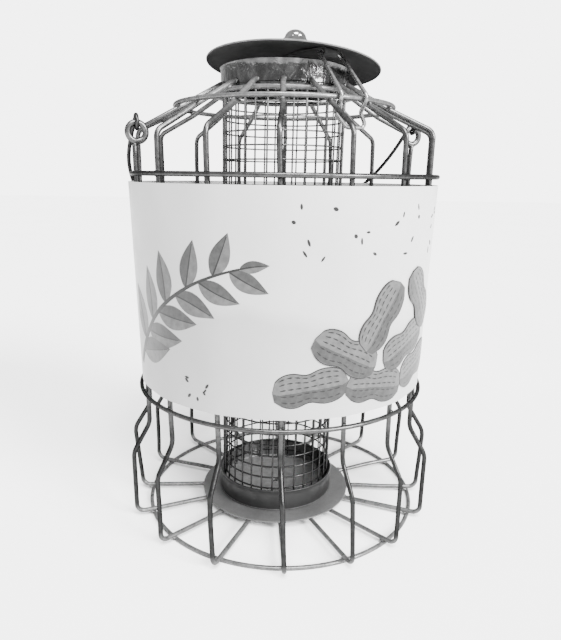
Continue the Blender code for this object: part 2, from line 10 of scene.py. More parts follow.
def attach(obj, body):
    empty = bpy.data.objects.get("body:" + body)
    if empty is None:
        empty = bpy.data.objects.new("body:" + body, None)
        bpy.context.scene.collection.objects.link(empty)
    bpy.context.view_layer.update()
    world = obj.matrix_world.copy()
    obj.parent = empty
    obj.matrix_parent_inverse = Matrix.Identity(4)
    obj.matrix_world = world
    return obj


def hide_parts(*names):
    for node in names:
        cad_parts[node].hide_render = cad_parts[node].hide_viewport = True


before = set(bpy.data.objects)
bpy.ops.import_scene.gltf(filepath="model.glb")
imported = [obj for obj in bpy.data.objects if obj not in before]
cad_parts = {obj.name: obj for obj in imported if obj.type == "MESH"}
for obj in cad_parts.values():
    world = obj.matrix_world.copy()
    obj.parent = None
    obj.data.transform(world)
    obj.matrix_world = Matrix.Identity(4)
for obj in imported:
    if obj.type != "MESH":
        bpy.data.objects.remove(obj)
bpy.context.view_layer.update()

MM = 0.001
TAU = 2 * pi
UP = Vector((0, 0, 1))

# Sizes as in the part's source
SEAT_GAP = 0.3 * MM
HOOK_CLEARANCE = 0.45 * MM
CAGE_WIRE = 3.0 * MM
RING_WIRE = 2.8 * MM
BAIL_WIRE = 2.3 * MM
LOOP_WIRE = 2.5 * MM
MESH_WIRE = 1.2 * MM
UPRIGHTS = 16
DRUM_RADIUS = 100.0 * MM
FOOT_RADIUS = 112.5 * MM
FOOT_RING_INSET = 10.8 * MM
KNEE_RADIUS = 71.0 * MM
SPOKE_LAP = 10.0 * MM
FOOT_RISE = 48.4 * MM
FLARE_RISE = 20.2 * MM
LOWER_RING_RISE = 24.3 * MM
DRUM_RISE = 146.2 * MM
SHOULDER_RISE = 27.6 * MM
KNEE_RISE = 12.6 * MM
ROOF_TOP_RISE = 15.5 * MM
FOOT_BEND = 6.0 * MM
FLARE_BEND = 14.0 * MM
KNEE_BEND = 20.0 * MM
ROOF_TURN = radians(-1.3)
FOOT_TURN = radians(0.9)
EYE_RADIUS = 6.0 * MM
EYE_DROP = 3.0 * MM
LEFT_EYE_UPRIGHT = 13
RIGHT_EYE_UPRIGHT = 5
RIGHT_EYE_RISE = 4.0 * MM
RIGHT_EYE_TURN = radians(-2.0)
BAIL_DEPTH = 132.0 * MM
BAIL_FULLNESS = 2.6
BAIL_SPLAY = 3.5 * MM
BAIL_SPLAY_POWER = 4
BAIL_REST = radians(52.909)
HOOK_SLACK = 1.3 * MM
HOOK_SWEEP = radians(250.0)
MESH_RADIUS = 40.7 * MM
MESH_TOP_INSET = 4.0 * MM
TRAY_SHEET = 0.8 * MM
TRAY_HEIGHT = 16.1 * MM
DRAIN_RADIUS = 2.0 * MM
PLATE_RADIUS = 57.0 * MM
PLATE_SHEET = 1.0 * MM
COLLAR_SHEET = 0.6 * MM
COLLAR_HEIGHT = 13.7 * MM
COLLAR_LAP = 3.6 * MM
HEM_HEIGHT = 2.0 * MM
CORE_LEAN = 2.5 * MM
SLEEVE_CARD = 0.5 * MM
SLEEVE_TOP_GAP = 5.2 * MM
LID_RADIUS = 56.9 * MM
LID_SHEET = 0.8 * MM
LID_DISH = 8.4 * MM
LID_PAD_RADIUS = 10.0 * MM
LID_CENTRE = Vector((5.6, -3.6, 310.634)) * MM
LID_TILT_FRONT = radians(5.0)
LID_TILT_LEFT = radians(3.2)
NUT_HEX_HEIGHT = 7.5 * MM
NUT_DOME_RADIUS = 6.6 * MM
SCREW_RADIUS = 2.4 * MM
SCREW_GRIP = 7.5 * MM
SCREW_HEAD_RADIUS = 4.6 * MM
SCREW_HEAD_HEIGHT = 2.4 * MM
STRAP_SHEET = 0.8 * MM
STRAP_WIDTH = 10.0 * MM
STRAP_REACH = 40.0 * MM
STRAP_TAIL = 8.0 * MM
STRAP_CURL = radians(290.0)
LOOP_AZIMUTH = radians(31.0)
LOOP_HALF_WIDTH = 8.5 * MM
LOOP_BEND = 4.0 * MM

# Sizes that differ a little from the part's source, to follow the photograph
SHOULDER_BEND = 6.5 * MM
TRAY_CLEARANCE = 1.6 * MM
SLEEVE_FLARE = 2.5 * MM
SLEEVE_FOOT_GAP = 7.1 * MM

# Sizes that follow from these
WIRE_SIDES = 8
RING_APOTHEM = RING_WIRE / 2 * cos(pi / WIRE_SIDES)
SPOKE_HEIGHT = RING_APOTHEM + RING_WIRE / 2 + SEAT_GAP + CAGE_WIRE / 2
FLARE_LOW = SPOKE_HEIGHT + FOOT_RISE
FLARE_HIGH = FLARE_LOW + FLARE_RISE
LOWER_RING_HEIGHT = FLARE_HIGH + LOWER_RING_RISE
UPPER_RING_HEIGHT = LOWER_RING_HEIGHT + DRUM_RISE
SHOULDER_HEIGHT = UPPER_RING_HEIGHT + SHOULDER_RISE
KNEE_HEIGHT = SHOULDER_HEIGHT + KNEE_RISE
ROOF_TOP_HEIGHT = KNEE_HEIGHT + ROOF_TOP_RISE
EYE_HEIGHT = SHOULDER_HEIGHT - EYE_DROP
COLLAR_FOOT = ROOF_TOP_HEIGHT - COLLAR_LAP
COLLAR_TOP = COLLAR_FOOT + COLLAR_HEIGHT
HOOP_RADIUS = DRUM_RADIUS + (CAGE_WIRE + RING_WIRE) / 2 + SEAT_GAP
SLEEVE_INNER = DRUM_RADIUS + CAGE_WIRE / 2 + SEAT_GAP
FOOT_RING_RADIUS = FOOT_RADIUS - FOOT_RING_INSET
MESH_OUTER = MESH_RADIUS + MESH_WIRE / 2
COLLAR_INNER = MESH_OUTER + SEAT_GAP
COLLAR_OUTER = COLLAR_INNER + COLLAR_SHEET
TRAY_OUTER = MESH_OUTER + TRAY_CLEARANCE + TRAY_SHEET
EYE_OUTER = EYE_RADIUS + CAGE_WIRE / 2
HOOK_RADIUS = (CAGE_WIRE + BAIL_WIRE) / 2 + HOOK_SLACK
SCREW_HOLE = SCREW_RADIUS + SEAT_GAP
PLATE_FOOT = SPOKE_HEIGHT + CAGE_WIRE / 2 + SEAT_GAP
PLATE_TOP = PLATE_FOOT + PLATE_SHEET
TRAY_FOOT = PLATE_TOP + SEAT_GAP
TRAY_FLOOR = TRAY_FOOT + TRAY_SHEET
SLEEVE_FOOT = LOWER_RING_HEIGHT + SLEEVE_FOOT_GAP
SLEEVE_TOP = UPPER_RING_HEIGHT - SLEEVE_TOP_GAP

# Steps of rounded forms, finer than in the part's source, and the angles at which their edges stay sharp
BEND_STEP = radians(7.5)
RING_STEPS = 180
TURNED_STEPS = 144
WIRE_ROUNDNESS = 4
EYE_STEPS = 64
MESH_RING_STEPS = 96
BEAD_STEPS = 10
BEAD_LEVELS = 6
ROUTE_STEP = 9 * MM
LEAST_TURN = radians(0.5)
SHARP = radians(40)
BEAD_SHARP = radians(80)
CARD_SHARP = radians(60)
STRAP_SHARP = radians(50)
NUT_SHARP = radians(22)

# Half axes of the weld beads in millimetres: the two that vary, and how far the bead stands out
RING_BEAD = (1.9, 1.7, 0.9)
FOOT_BEAD = (1.9, 1.8, 0.9)
COLLAR_BEAD = (2.0, 1.7, 0.8)
SPOKE_BEAD = (2.2, 1.4, 0.6)
EYE_BEAD = (2.1, 2.2, 1.1)
SPUR_BEAD = (2.0, 2.0, 1.0)
BEAD_LIFT = 0.1 * MM

# Wires, rings and nut as thick as the photograph shows them
CAGE_FINE_WIRE = 3.3 * MM
RING_FINE_WIRE = 3.0 * MM
BAIL_FINE_WIRE = 2.7 * MM
EYE_WIRE = 4.0 * MM
EYE_TRIM = 0.5 * MM
NUT_FINE_FLATS = 14.6 * MM
NUT_FINE_DOME = 7.1 * MM
NUT_LIFT = 1.3 * MM

# The hand-made cage's unevenness; the keys are numbers of uprights, counted from the front to the right
SHOULDER_DROP = {14: 4.0 * MM, 15: 3.2 * MM, 0: 3.0 * MM, 1: 3.0 * MM, 2: 3.4 * MM, 3: 1.0 * MM}
FOOT_PULL = {12: 5.0 * MM, 4: 2.5 * MM}
FOOT_SWAY = {0: 2.0 * MM, 1: 3.0 * MM, 2: -1.5 * MM, 4: -5.0 * MM, 12: 3.5 * MM, 14: -1.0 * MM}
TOP_SWAY = {0: -0.3 * MM, 2: -1.2 * MM, 14: -1.0 * MM, 15: -1.9 * MM}
TOP_SWAY_END = KNEE_HEIGHT - 2 * MM
RING_SHIFT = {"foot_ring": 1.8 * MM, "upper_ring": 0.8 * MM}
LEFT_EYE_SHIFT = 1.7 * MM
CORE_LEAN_FRONT = 2.5 * MM
COLLAR_RISE = 1.7 * MM
WIRE_WANDER = 0.3 * MM
WANDER_WAVE = ((0.045, 0.11), (0, TAU), (0.4, 1.0))
BESIDE_LOOP = (1, 2)

# The mesh at its real pitch, with its crossing wires set inwards
MESH_COLUMNS = 32
MESH_PHASE = radians(-3.3)
MESH_ROW_PITCH = 8.49 * MM
MESH_ROW_INSET = 0.55 * MM

# The card: the angle at which it laps over its start, and how far it dips between the wires
CARD_SEAM = radians(88)
CARD_LAP = radians(11)
CARD_LIFT_START = radians(346)
CARD_LIFT_END = radians(359)
CARD_DIP = 0.5 * MM

# The collar's seam and dents, and the plate's waviness
COLLAR_SEAM = radians(30.6)
COLLAR_LAP_LIFT = 0.45 * MM
COLLAR_DENT = 0.06 * MM
PLATE_WAVE = 0.12 * MM

# The loop's legs in millimetres from the hinge: how far sideways, then foot and bar's end, then its bend
LEFT_LEG = (-8.6, (-8.2, -2.6, -8.0), (0.6, -3.0, -16.0), 5.0)
RIGHT_LEG = (9.2, (9.6, -2.0, -7.4), (15.2, -3.0, -15.6), 2.2)
LEG_FOOT_BEND = 3.0

# Millimetres along the card for a degree round the drum
PRINT_SCALE = radians(1) * SLEEVE_INNER / MM
INK_DEPTH = 0.1 * MM

# Camera matched to the photograph
FOCAL_PX = 572.5
FRAME_WIDTH_PX = 561
FRAME_HEIGHT_PX = 640
SENSOR = 24.0
PITCH = radians(16.28)
ROLL = radians(0.80)
CENTRE_PX = (275.93, 342.73)
CAMERA_PLACE = Vector((-0.0033, -0.41378, 0.2433))


def add_camera():
    """The camera of the photograph."""
    data = bpy.data.cameras.new("camera")
    data.sensor_fit = "VERTICAL"
    data.sensor_width = SENSOR
    data.sensor_height = SENSOR
    data.lens = FOCAL_PX / FRAME_HEIGHT_PX * SENSOR
    data.shift_x = (FRAME_WIDTH_PX / 2 - CENTRE_PX[0]) / FRAME_HEIGHT_PX
    data.shift_y = (CENTRE_PX[1] - FRAME_HEIGHT_PX / 2) / FRAME_HEIGHT_PX
    data.clip_start = 0.01
    camera = bpy.data.objects.new("camera", data)
    bpy.context.scene.collection.objects.link(camera)
    aim = Matrix.Rotation(pi / 2 - PITCH, 4, "X") @ Matrix.Rotation(ROLL, 4, "Z")
    camera.matrix_world = Matrix.Translation(CAMERA_PLACE) @ aim
    bpy.context.scene.camera = camera


def polar(radius, angle, height):
    """A point at an angle about the axis, counted from the front towards the right."""
    return Vector((radius * sin(angle), -radius * cos(angle), height))


def smooth(low, high, value):
    """A soft step from 0 to 1."""
    share = min(max((value - low) / (high - low), 0), 1)
    return share * share * (3 - 2 * share)


class Nodes:
    """Builds one material's node tree."""

    def __init__(self, name):
        self.material = bpy.data.materials.new(name)
        self.material.use_nodes = True
        self.tree = self.material.node_tree
        self.shader = self.tree.nodes["Principled BSDF"]
        self.place = self.add("ShaderNodeTexCoord", {}).outputs["Object"]

    def add(self, kind, inputs, **properties):
        """A new node with its properties set and its inputs fed."""
        node = self.tree.nodes.new(kind)
        for key, value in properties.items():
            setattr(node, key, value)
        self.feed(node, inputs)
        return node

    def feed(self, node, inputs):
        """Give a node's inputs plain values or other nodes' outputs."""
        for key, value in inputs.items():
            if isinstance(value, bpy.types.NodeSocket):
                self.tree.links.new(value, node.inputs[key])
            else:
                node.inputs[key].default_value = value

    def noise(self, scale, detail=3.0, roughness=0.5, stretch=None, distortion=0.0):
        """A noise pattern's factor, on object coordinates in metres."""
        place = self.place
        if stretch:
            place = self.add("ShaderNodeMapping", {"Vector": place, "Scale": stretch}).outputs["Vector"]
        inputs = {"Vector": place, "Scale": scale, "Detail": detail}
        inputs.update({"Roughness": roughness, "Distortion": distortion})
        return self.add("ShaderNodeTexNoise", inputs).outputs["Fac"]

    def ramp(self, factor, stops):
        """Greys along a factor, from stops of (position, grey)."""
        node = self.add("ShaderNodeValToRGB", {"Fac": factor})
        elements = node.color_ramp.elements
        while len(elements) < len(stops):
            elements.new(0.5)
        for element, (position, grey) in zip(elements, stops):
            element.position = position
            element.color = (grey, grey, grey, 1.0)
        return node.outputs["Color"]

    def mottled(self, low, high, *pattern):
        """Two greys that follow a noise pattern."""
        return self.ramp(self.noise(*pattern), [(0.3, low), (0.7, high)])

    def span(self, value, from_low, from_high, low, high):
        """A value mapped from one range to another, and kept within it."""
        inputs = {"Value": value, "From Min": from_low, "From Max": from_high, "To Min": low, "To Max": high}
        return self.add("ShaderNodeMapRange", inputs, clamp=True).outputs["Result"]

    def mix(self, factor, first, second, blend="MIX"):
        """A mix of two colours; the factor is a number or an output."""
        inputs = {"Factor": factor, "A": first, "B": second}
        return self.add("ShaderNodeMix", inputs, data_type="RGBA", blend_type=blend).outputs["Result"]

    def multiply(self, first, second):
        """One tone darkened or lightened by another."""
        return self.mix(1.0, first, second, "MULTIPLY")

    def math(self, operation, first, second):
        """One sum of a number or output with another."""
        return self.add("ShaderNodeMath", {0: first, 1: second}, operation=operation).outputs[0]

    def coordinates(self):
        """X, Y and Z on the object."""
        return self.add("ShaderNodeSeparateXYZ", {0: self.place}).outputs

    def tone(self, colour):
        """The surface's own colour."""
        self.feed(self.shader, {"Base Color": colour})

    def gloss(self, scale, detail, low, high):
        """Roughness that varies between two values."""
        self.feed(self.shader, {"Roughness": self.span(self.noise(scale, detail), 0.3, 0.7, low, high)})

    def bump(self, strength, distance, *pattern):
        """Small relief on the surface, from a noise pattern."""
        inputs = {"Strength": strength, "Distance": distance, "Height": self.noise(*pattern)}
        self.feed(self.shader, {"Normal": self.add("ShaderNodeBump", inputs).outputs["Normal"]})

    def finish(self, **values):
        """The material, with the rest of its shader's own sockets."""
        self.feed(self.shader, {key.replace("_", " "): value for key, value in values.items()})
        return self.material


def coated_wire(name, dark, light, low=0.28, high=0.42):
    """Thin satin coating on drawn wire, with specks, an uneven gloss, and painted shade on the drum's
    uprights with painted light at the foot and the roof.
    """
    nodes = Nodes(name)
    level = nodes.span(nodes.coordinates()[2], 0, WIRE_TONES_TOP, 0, 1)
    tone = nodes.ramp(nodes.noise(260, 4, 0.6), [(0.35, dark), (0.65, light)])
    # Painted light and shade by height: darker through the drum where the card shades the uprights, lighter
    # at the foot ring and roof where light from above falls
    tone = nodes.multiply(tone, nodes.ramp(level, WIRE_PAINTED_LIGHT_AND_SHADE))
    specks = nodes.ramp(nodes.noise(1300, 2, 0.6), [(0.3, 0.84), (0.5, 1.0), (0.72, 1.12)])
    nodes.tone(nodes.multiply(tone, specks))
    nodes.gloss(500, 2, low, high)
    nodes.bump(0.07, 0.0002, 900, 2, 0.5)
    return nodes.finish(Metallic=nodes.ramp(level, WIRE_SHINE), IOR=1.4, Specular_Tint=DULL_EDGE)


def bare_metal(name, pattern, stops, gloss, relief, metallic):
    """Bare metal whose tone, gloss and relief each follow a noise pattern."""
    nodes = Nodes(name)
    nodes.tone(nodes.ramp(nodes.noise(*pattern), stops))
    nodes.gloss(*gloss)
    nodes.bump(*relief)
    return nodes.finish(Metallic=metallic)


def sheet_steel(name, dark, light, metallic, low, high):
    """Painted or bare sheet: broad cloudy tone, fine grain and uneven gloss."""
    nodes = Nodes(name)
    cloudy = nodes.mottled(dark, light, 38, 5, 0.6)
    grain = nodes.mottled(0.86, 1.1, 900, 2, 0.6)
    nodes.tone(nodes.multiply(cloudy, grain))
    nodes.gloss(120, 3, low, high)
    nodes.bump(0.15, 0.0002, 700, 3, 0.6)
    return nodes.finish(Metallic=metallic)


def lid_paint(name):
    """Near-black satin paint, dusty in broad patches, with a painted highlight along the rolled edge."""
    nodes = Nodes(name)
    tone = nodes.ramp(nodes.noise(45, 5, 0.62), [(0.3, 0.024), (0.75, 0.043)])
    x, y, _ = nodes.coordinates()
    square = nodes.math("ADD", nodes.math("MULTIPLY", x, x), nodes.math("MULTIPLY", y, y))
    reach = nodes.math("SQRT", square, 0.0)
    # Painted highlight: a lighter tone on the lid's outermost edge
    rim = nodes.span(reach, LID_RADIUS - 0.55 * MM, LID_RADIUS - 0.4 * MM, 0, 1)
    lighter_tone = nodes.mottled(0.08, 0.14, 150, 3)
    nodes.tone(nodes.mix(rim, tone, lighter_tone))
    nodes.gloss(160, 3, 0.34, 0.46)
    nodes.bump(0.08, 0.0002, 900, 3)
    return nodes.finish(Metallic=0.0, IOR=1.006)


def tray_metal(name):
    """Dark coated sheet, lighter on its inner wall, and lighter still on its floor with painted light from
    above.
    """
    nodes = Nodes(name)
    cloudy = nodes.mottled(0.009, 0.016, 60, 5, 0.65)
    # Painted light: the tray lighter from its floor down, as light from above falls on the floor through the
    # mesh
    painted_floor_light = nodes.mottled(0.1, 0.19, 220, 5, 0.7)
    inside = nodes.span(nodes.coordinates()[2], TRAY_FLOOR, TRAY_FLOOR + 0.9 * MM, 1, 0)
    normal = nodes.add("ShaderNodeTexCoord", {}).outputs["Normal"]
    outward = nodes.add("ShaderNodeVectorMath", {0: nodes.place, 1: normal}, operation="DOT_PRODUCT")
    inner_wall = nodes.span(outward.outputs["Value"], -0.03, -0.02, 1, 0)
    lighter_tone = nodes.mottled(0.05, 0.085, 120, 4, 0.65)
    cloudy = nodes.mix(inner_wall, cloudy, lighter_tone)
    nodes.tone(nodes.mix(inside, cloudy, painted_floor_light))
    nodes.gloss(160, 3, 0.3, 0.45)
    nodes.bump(0.15, 0.0002, 700, 3, 0.6)
    return nodes.finish(Metallic=0.3, IOR=1.35)


def card_nodes(name):
    """Glossy printed card's gloss and slight unevenness, without its colour."""
    nodes = Nodes(name)
    nodes.gloss(90, 3, 0.3, 0.42)
    nodes.bump(0.12, 0.0012, 55, 4, 0.55)
    nodes.finish(Metallic=0.0, IOR=1.32, Coat_Weight=0.06, Coat_Roughness=0.2)
    return nodes


def card_print(name):
    """The card's pale printed ground: a soft pale sky over a slightly darker lower part, with painted shade
    that darkens it towards the left.
    """
    nodes = card_nodes(name)
    x, _, z = nodes.coordinates()
    wave = nodes.span(nodes.noise(9, 2, 0.5, (1, 1, 0.3)), 0.3, 0.7, -0.012, 0.012)
    level = nodes.math("ADD", z, wave)
    bands = [(0.0, 0.4), (0.43, 0.36), (0.5, 0.45), (1.0, 0.5)]
    ground = nodes.ramp(nodes.span(level, 0.1, 0.24, 0, 1), bands)
    # Painted light and shade: the card darker to the left and lighter to the right, where the light from the
    # right falls on it
    side = nodes.ramp(nodes.span(x, -0.1, 0.1, 0, 1), [(0.0, 0.7), (0.4, 0.8), (1.0, 1.0)])
    clouds = nodes.mottled(0.95, 1.03, 24, 4, 0.55)
    nodes.tone(nodes.multiply(nodes.multiply(ground, side), clouds))
    return nodes.material


def print_ink(name, dark, light):
    """One tone of the printed picture, with a fine uneven ink."""
    nodes = card_nodes(name)
    nodes.tone(nodes.ramp(nodes.noise(260, 4, 0.6), [(0.32, dark), (0.68, light)]))
    return nodes.material


def floor_paper(name):
    """Plain pale backdrop paper."""
    nodes = Nodes(name)
    nodes.tone(nodes.mottled(0.9, 0.93, 3, 3))
    nodes.gloss(20, 2, 0.75, 0.85)
    return nodes.finish(Metallic=0.0, IOR=1.3)


# The coated wire's dull edge tint, and up the feeder to WIRE_TONES_TOP in metres its painted light and shade
# (darker through the drum, lighter at the foot ring and the roof) and its metal shares
DULL_EDGE = (0.22, 0.22, 0.22, 1.0)
WIRE_TONES_TOP = 0.32
WIRE_PAINTED_LIGHT_AND_SHADE = [(0.0, 2.0), (0.022, 1.9), (0.038, 0.4), (0.25, 0.5), (0.288, 1.2),
              (0.39, 1.1), (0.78, 1.1), (0.86, 1.7), (0.9, 2.7), (1.0, 3.2)]
WIRE_SHINE = [(0.0, 0.55), (0.022, 0.55), (0.04, 0.9), (0.86, 0.9), (0.91, 0.55)]
CAGE_STEEL = coated_wire("cage_steel_look", 0.035, 0.06, 0.24, 0.36)
BAIL_STEEL = coated_wire("bail_steel_look", 0.014, 0.026)
MESH_STEEL = coated_wire("mesh_steel_look", 0.055, 0.09, 0.26, 0.38)
PLATE_STEEL = sheet_steel("plate_steel_look", 0.055, 0.078, 0.3, 0.45, 0.6)
TRAY_STEEL = tray_metal("tray_steel_look")
SCREW_STEEL = sheet_steel("screw_steel_look", 0.05, 0.09, 0.8, 0.3, 0.45)
LID_STEEL = lid_paint("lid_steel_look")
CARD = card_print("card_look")
INK_PALE = print_ink("ink_pale_look", 0.045, 0.075)
INK_MID = print_ink("ink_mid_look", 0.02, 0.036)
INK_DARK = print_ink("ink_dark_look", 0.005, 0.01)

# Drawn wire, the swirls and small dents of a rolled strip, and plating with a faint haze
BARE_STEEL = bare_metal("bare_steel_look", (420, 4, 0.65), [(0.3, 0.15), (0.7, 0.28)],
                        (900, 2, 0.2, 0.36), (0.06, 0.0001, 1500, 2), 0.9)
COLLAR_STEEL = bare_metal("collar_steel_look", (95, 3, 0.6, (1, 1, 0.5), 1.2),
                          [(0.32, 0.03), (0.5, 0.06), (0.68, 0.12)],
                          (300, 3, 0.12, 0.26), (0.6, 0.0006, 230, 2, 0.5, (1, 1, 0.7), 1.8), 0.9)
CHROME = bare_metal("chrome_look", (300, 3), [(0.3, 0.2), (0.7, 0.3)],
                    (600, 2, 0.07, 0.16), (0.05, 0.0001, 500, 2), 1.0)


def link(name, data, material):
    """Put a mesh or a curve into the scene as a named object."""
    item = bpy.data.objects.new(name, data)
    bpy.context.scene.collection.objects.link(item)
    data.materials.append(material)
    return item


def dress(item, slot, *nodes, body="cage"):
    """Let a piece ride on its body and stand for its CAD nodes; its slot is not used."""
    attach(item, body)
    if nodes:
        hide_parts(*nodes)
    return item


def finish_mesh(name, form, material, sharp=SHARP):
    """A finished form as a named object, smooth but for its sharp edges."""
    bmesh.ops.recalc_face_normals(form, faces=form.faces)
    mesh = bpy.data.meshes.new(name)
    form.to_mesh(mesh)
    form.free()
    mesh.shade_smooth()
    mesh.set_sharp_from_angle(angle=sharp)
    return link(name, mesh, material)


def skin(form, rings):
    """Faces between neighbouring rings of points; a ring of one point is a pole."""
    for here, there in zip(rings, rings[1:]):
        steps = max(len(here), len(there))
        for step in range(steps if steps > 1 else 0):
            ahead = (step + 1) % steps
            corners = [here[step % len(here)], here[ahead % len(here)],
                       there[ahead % len(there)], there[step % len(there)]]
            form.faces.new(list(dict.fromkeys(corners)))


def ladder(form, ring):
    """Faces across a closed ring of points, from one long side to the other."""
    for index in range(len(ring) // 2 - 1):
        form.faces.new([ring[index], ring[index + 1], ring[-2 - index], ring[-1 - index]])


def turns(steps):
    """Angles at even steps round a circle."""
    return [TAU * step / steps for step in range(steps)]


def rounded(corners, closed=False):
    """Points of a route whose corners, given as (point, bend radius), are rounded to arcs."""
    count = len(corners)
    points = []
    for index, (corner, bend) in enumerate(corners):
        if not closed and index in (0, count - 1):
            points.append(corner)
            continue
        before = corners[index - 1][0]
        after = corners[(index + 1) % count][0]
        to_before = (before - corner).normalized()
        to_after = (after - corner).normalized()
        turn = pi - to_before.angle(to_after)
        if turn < LEAST_TURN:
            points.append(corner)
            continue
        reach = bend * tan(turn / 2)
        centre = corner + (to_before + to_after).normalized() * (bend / cos(turn / 2))
        start = corner + to_before * reach - centre
        axis = start.cross(corner + to_after * reach - centre).normalized()
        steps = max(1, ceil(turn / BEND_STEP))
        for step in range(steps + 1):
            points.append(centre + Matrix.Rotation(turn * step / steps, 3, axis) @ start)
    return points


def wires(name, routes, diameter, material, roundness=WIRE_ROUNDNESS):
    """Round wires in one piece; a route is (points, closed) and may have blunt rounded ends."""
    curve = bpy.data.curves.new(name, "CURVE")
    curve.dimensions = "3D"
    curve.bevel_depth = diameter / 2
    curve.bevel_resolution = roundness
    curve.use_fill_caps = True
    for points, closed in routes:
        shares = [1.0] * len(points)
        if not closed:
            points, shares = blunt(points, diameter)
        spline = curve.splines.new("POLY")
        spline.points.add(len(points) - 1)
        for target, point, share in zip(spline.points, points, shares):
            target.co = (*point, 1.0)
            target.radius = share
        spline.use_cyclic_u = closed
        spline.use_smooth = True
    return link(name, curve, material)


def blunt(points, diameter):
    """The same route with its two ends cut blunt and their edges rounded off a little."""
    edge = diameter * 0.22
    first = (points[1] - points[0]).normalized()
    last = (points[-2] - points[-1]).normalized()
    start = [points[0], points[0] + first * edge * 0.35, points[0] + first * edge]
    end = [points[-1] + last * edge, points[-1] + last * edge * 0.35, points[-1]]
    shares = [0.55, 0.85, 1.0] + [1.0] * (len(points) - 2) + [1.0, 0.85, 0.55]
    return start + list(points[1:-1]) + end, shares


def turned(name, outline, material, steps=TURNED_STEPS, shape=None, sharp=SHARP):
    """A piece turned about Z from a closed outline of (radius, height), poles allowed at radius 0.

    shape, where given, moves a point: shape(point index, angle, radius, height) gives radius and height.
    """
    form = bmesh.new()
    rings = []
    for index, (radius, height) in enumerate(outline):
        if radius == 0:
            rings.append([form.verts.new((0, 0, height))])
            continue
        ring = []
        for angle in turns(steps):
            reach, level = shape(index, angle, radius, height) if shape else (radius, height)
            ring.append(form.verts.new(polar(reach, angle, level)))
        rings.append(ring)
    skin(form, rings + rings[:1])
    return finish_mesh(name, form, material, sharp)


def arc(centre, radius, start, end, steps):
    """Outline points on an arc, in degrees from the outline's radius axis."""
    points = []
    for step in range(steps + 1):
        angle = radians(start + (end - start) * step / steps)
        points.append((centre[0] + radius * cos(angle), centre[1] + radius * sin(angle)))
    return points


def blobs(name, places, material):
    """Weld beads in one piece: flattened balls at (centre, half axes as three vectors)."""
    form = bmesh.new()
    for centre, (along, across, out) in places:
        rings = []
        for level in range(BEAD_LEVELS + 1):
            lift = pi * level / BEAD_LEVELS
            middle = centre + out * cos(lift)
            angles = [0] if level in (0, BEAD_LEVELS) else turns(BEAD_STEPS)
            spreads = [(along * cos(angle) + across * sin(angle)) * sin(lift) for angle in angles]
            rings.append([form.verts.new(middle + spread) for spread in spreads])
        skin(form, rings)
    return finish_mesh(name, form, material, BEAD_SHARP)


def upright_angle(index, height):
    """Angle of an upright at a height, with the cage's slow turn and the wire's own sway."""
    share = min(max(height / UPPER_RING_HEIGHT, 0), 1)
    turn = ROOF_TURN - FOOT_TURN + (RIGHT_EYE_TURN if index == RIGHT_EYE_UPRIGHT else 0)
    foot = FOOT_SWAY.get(index, 0) * (1 - smooth(0, LOWER_RING_HEIGHT, height))
    top = TOP_SWAY.get(index, 0) * smooth(LOWER_RING_HEIGHT, UPPER_RING_HEIGHT, height)
    top *= 1 - smooth(SHOULDER_HEIGHT, TOP_SWAY_END, height)
    return TAU * index / UPRIGHTS + FOOT_TURN + turn * share + (foot + top) / DRUM_RADIUS


def upright_point(index, radius, height):
    """A point on an upright."""
    return polar(radius, upright_angle(index, height), height)


def eye_centre(index):
    """Centre of the handle eye on an upright."""
    rise = RIGHT_EYE_RISE if index == RIGHT_EYE_UPRIGHT else 0
    return upright_point(index, DRUM_RADIUS, EYE_HEIGHT + rise)


def roof_slope():
    """Angle of the roof wires above the knee, below the horizontal."""
    return atan2(ROOF_TOP_RISE, KNEE_RADIUS - COLLAR_OUTER)


def roof_end_radius():
    """Radius at which the roof wires end, on the collar."""
    return COLLAR_OUTER + SEAT_GAP + CAGE_WIRE / 2 * sin(roof_slope())


def dome_ring_place(gap):
    """Radius and height of the dome ring outside the knee of the roof wires."""
    lower = atan2(KNEE_RISE, DRUM_RADIUS - KNEE_RADIUS)
    tilt = (lower + roof_slope()) / 2
    reach = (CAGE_WIRE + RING_WIRE) / 2 + gap
    sag = KNEE_BEND * (1 / cos((roof_slope() - lower) / 2) - 1)
    return KNEE_RADIUS + (reach + sag) * sin(tilt), KNEE_HEIGHT + (reach + sag) * cos(tilt)


def neck_ring_place():
    """Radius and height of the neck ring under the roof wires beside the collar."""
    reach = (CAGE_WIRE + RING_WIRE) / 2
    tilt = roof_slope()
    radius = COLLAR_OUTER + RING_WIRE + CAGE_WIRE
    height = ROOF_TOP_HEIGHT - (radius - roof_end_radius()) * tan(tilt)
    return radius - reach * sin(tilt), height - reach * cos(tilt)


def strung(points):
    """The same route with points added along its long straights."""
    route = [points[0]]
    for here, there in zip(points, points[1:]):
        steps = max(1, ceil((there - here).length / ROUTE_STEP))
        route += [here.lerp(there, step / steps) for step in range(1, steps + 1)]
    return route


def wandered(points, seed):
    """A hand-bent wire's slight wander sideways round the cage."""
    chance = random.Random(seed)
    waves = [[chance.uniform(*limits) for limits in WANDER_WAVE] for _ in range(3)]
    route = []
    run = 0
    for index, point in enumerate(points):
        if index:
            run += (point - points[index - 1]).length
        sideways = Vector((-point.y, point.x, 0)).normalized()
        shift = sum(size * sin(TAU * run / length + phase) for length, phase, size in waves)
        route.append(point + sideways * shift * WIRE_WANDER)
    return route


def shifted(item, shift):
    """Move a piece's points to the right by a distance."""
    for spline in item.data.splines:
        for point in spline.points:
            point.co.x += shift
    return item


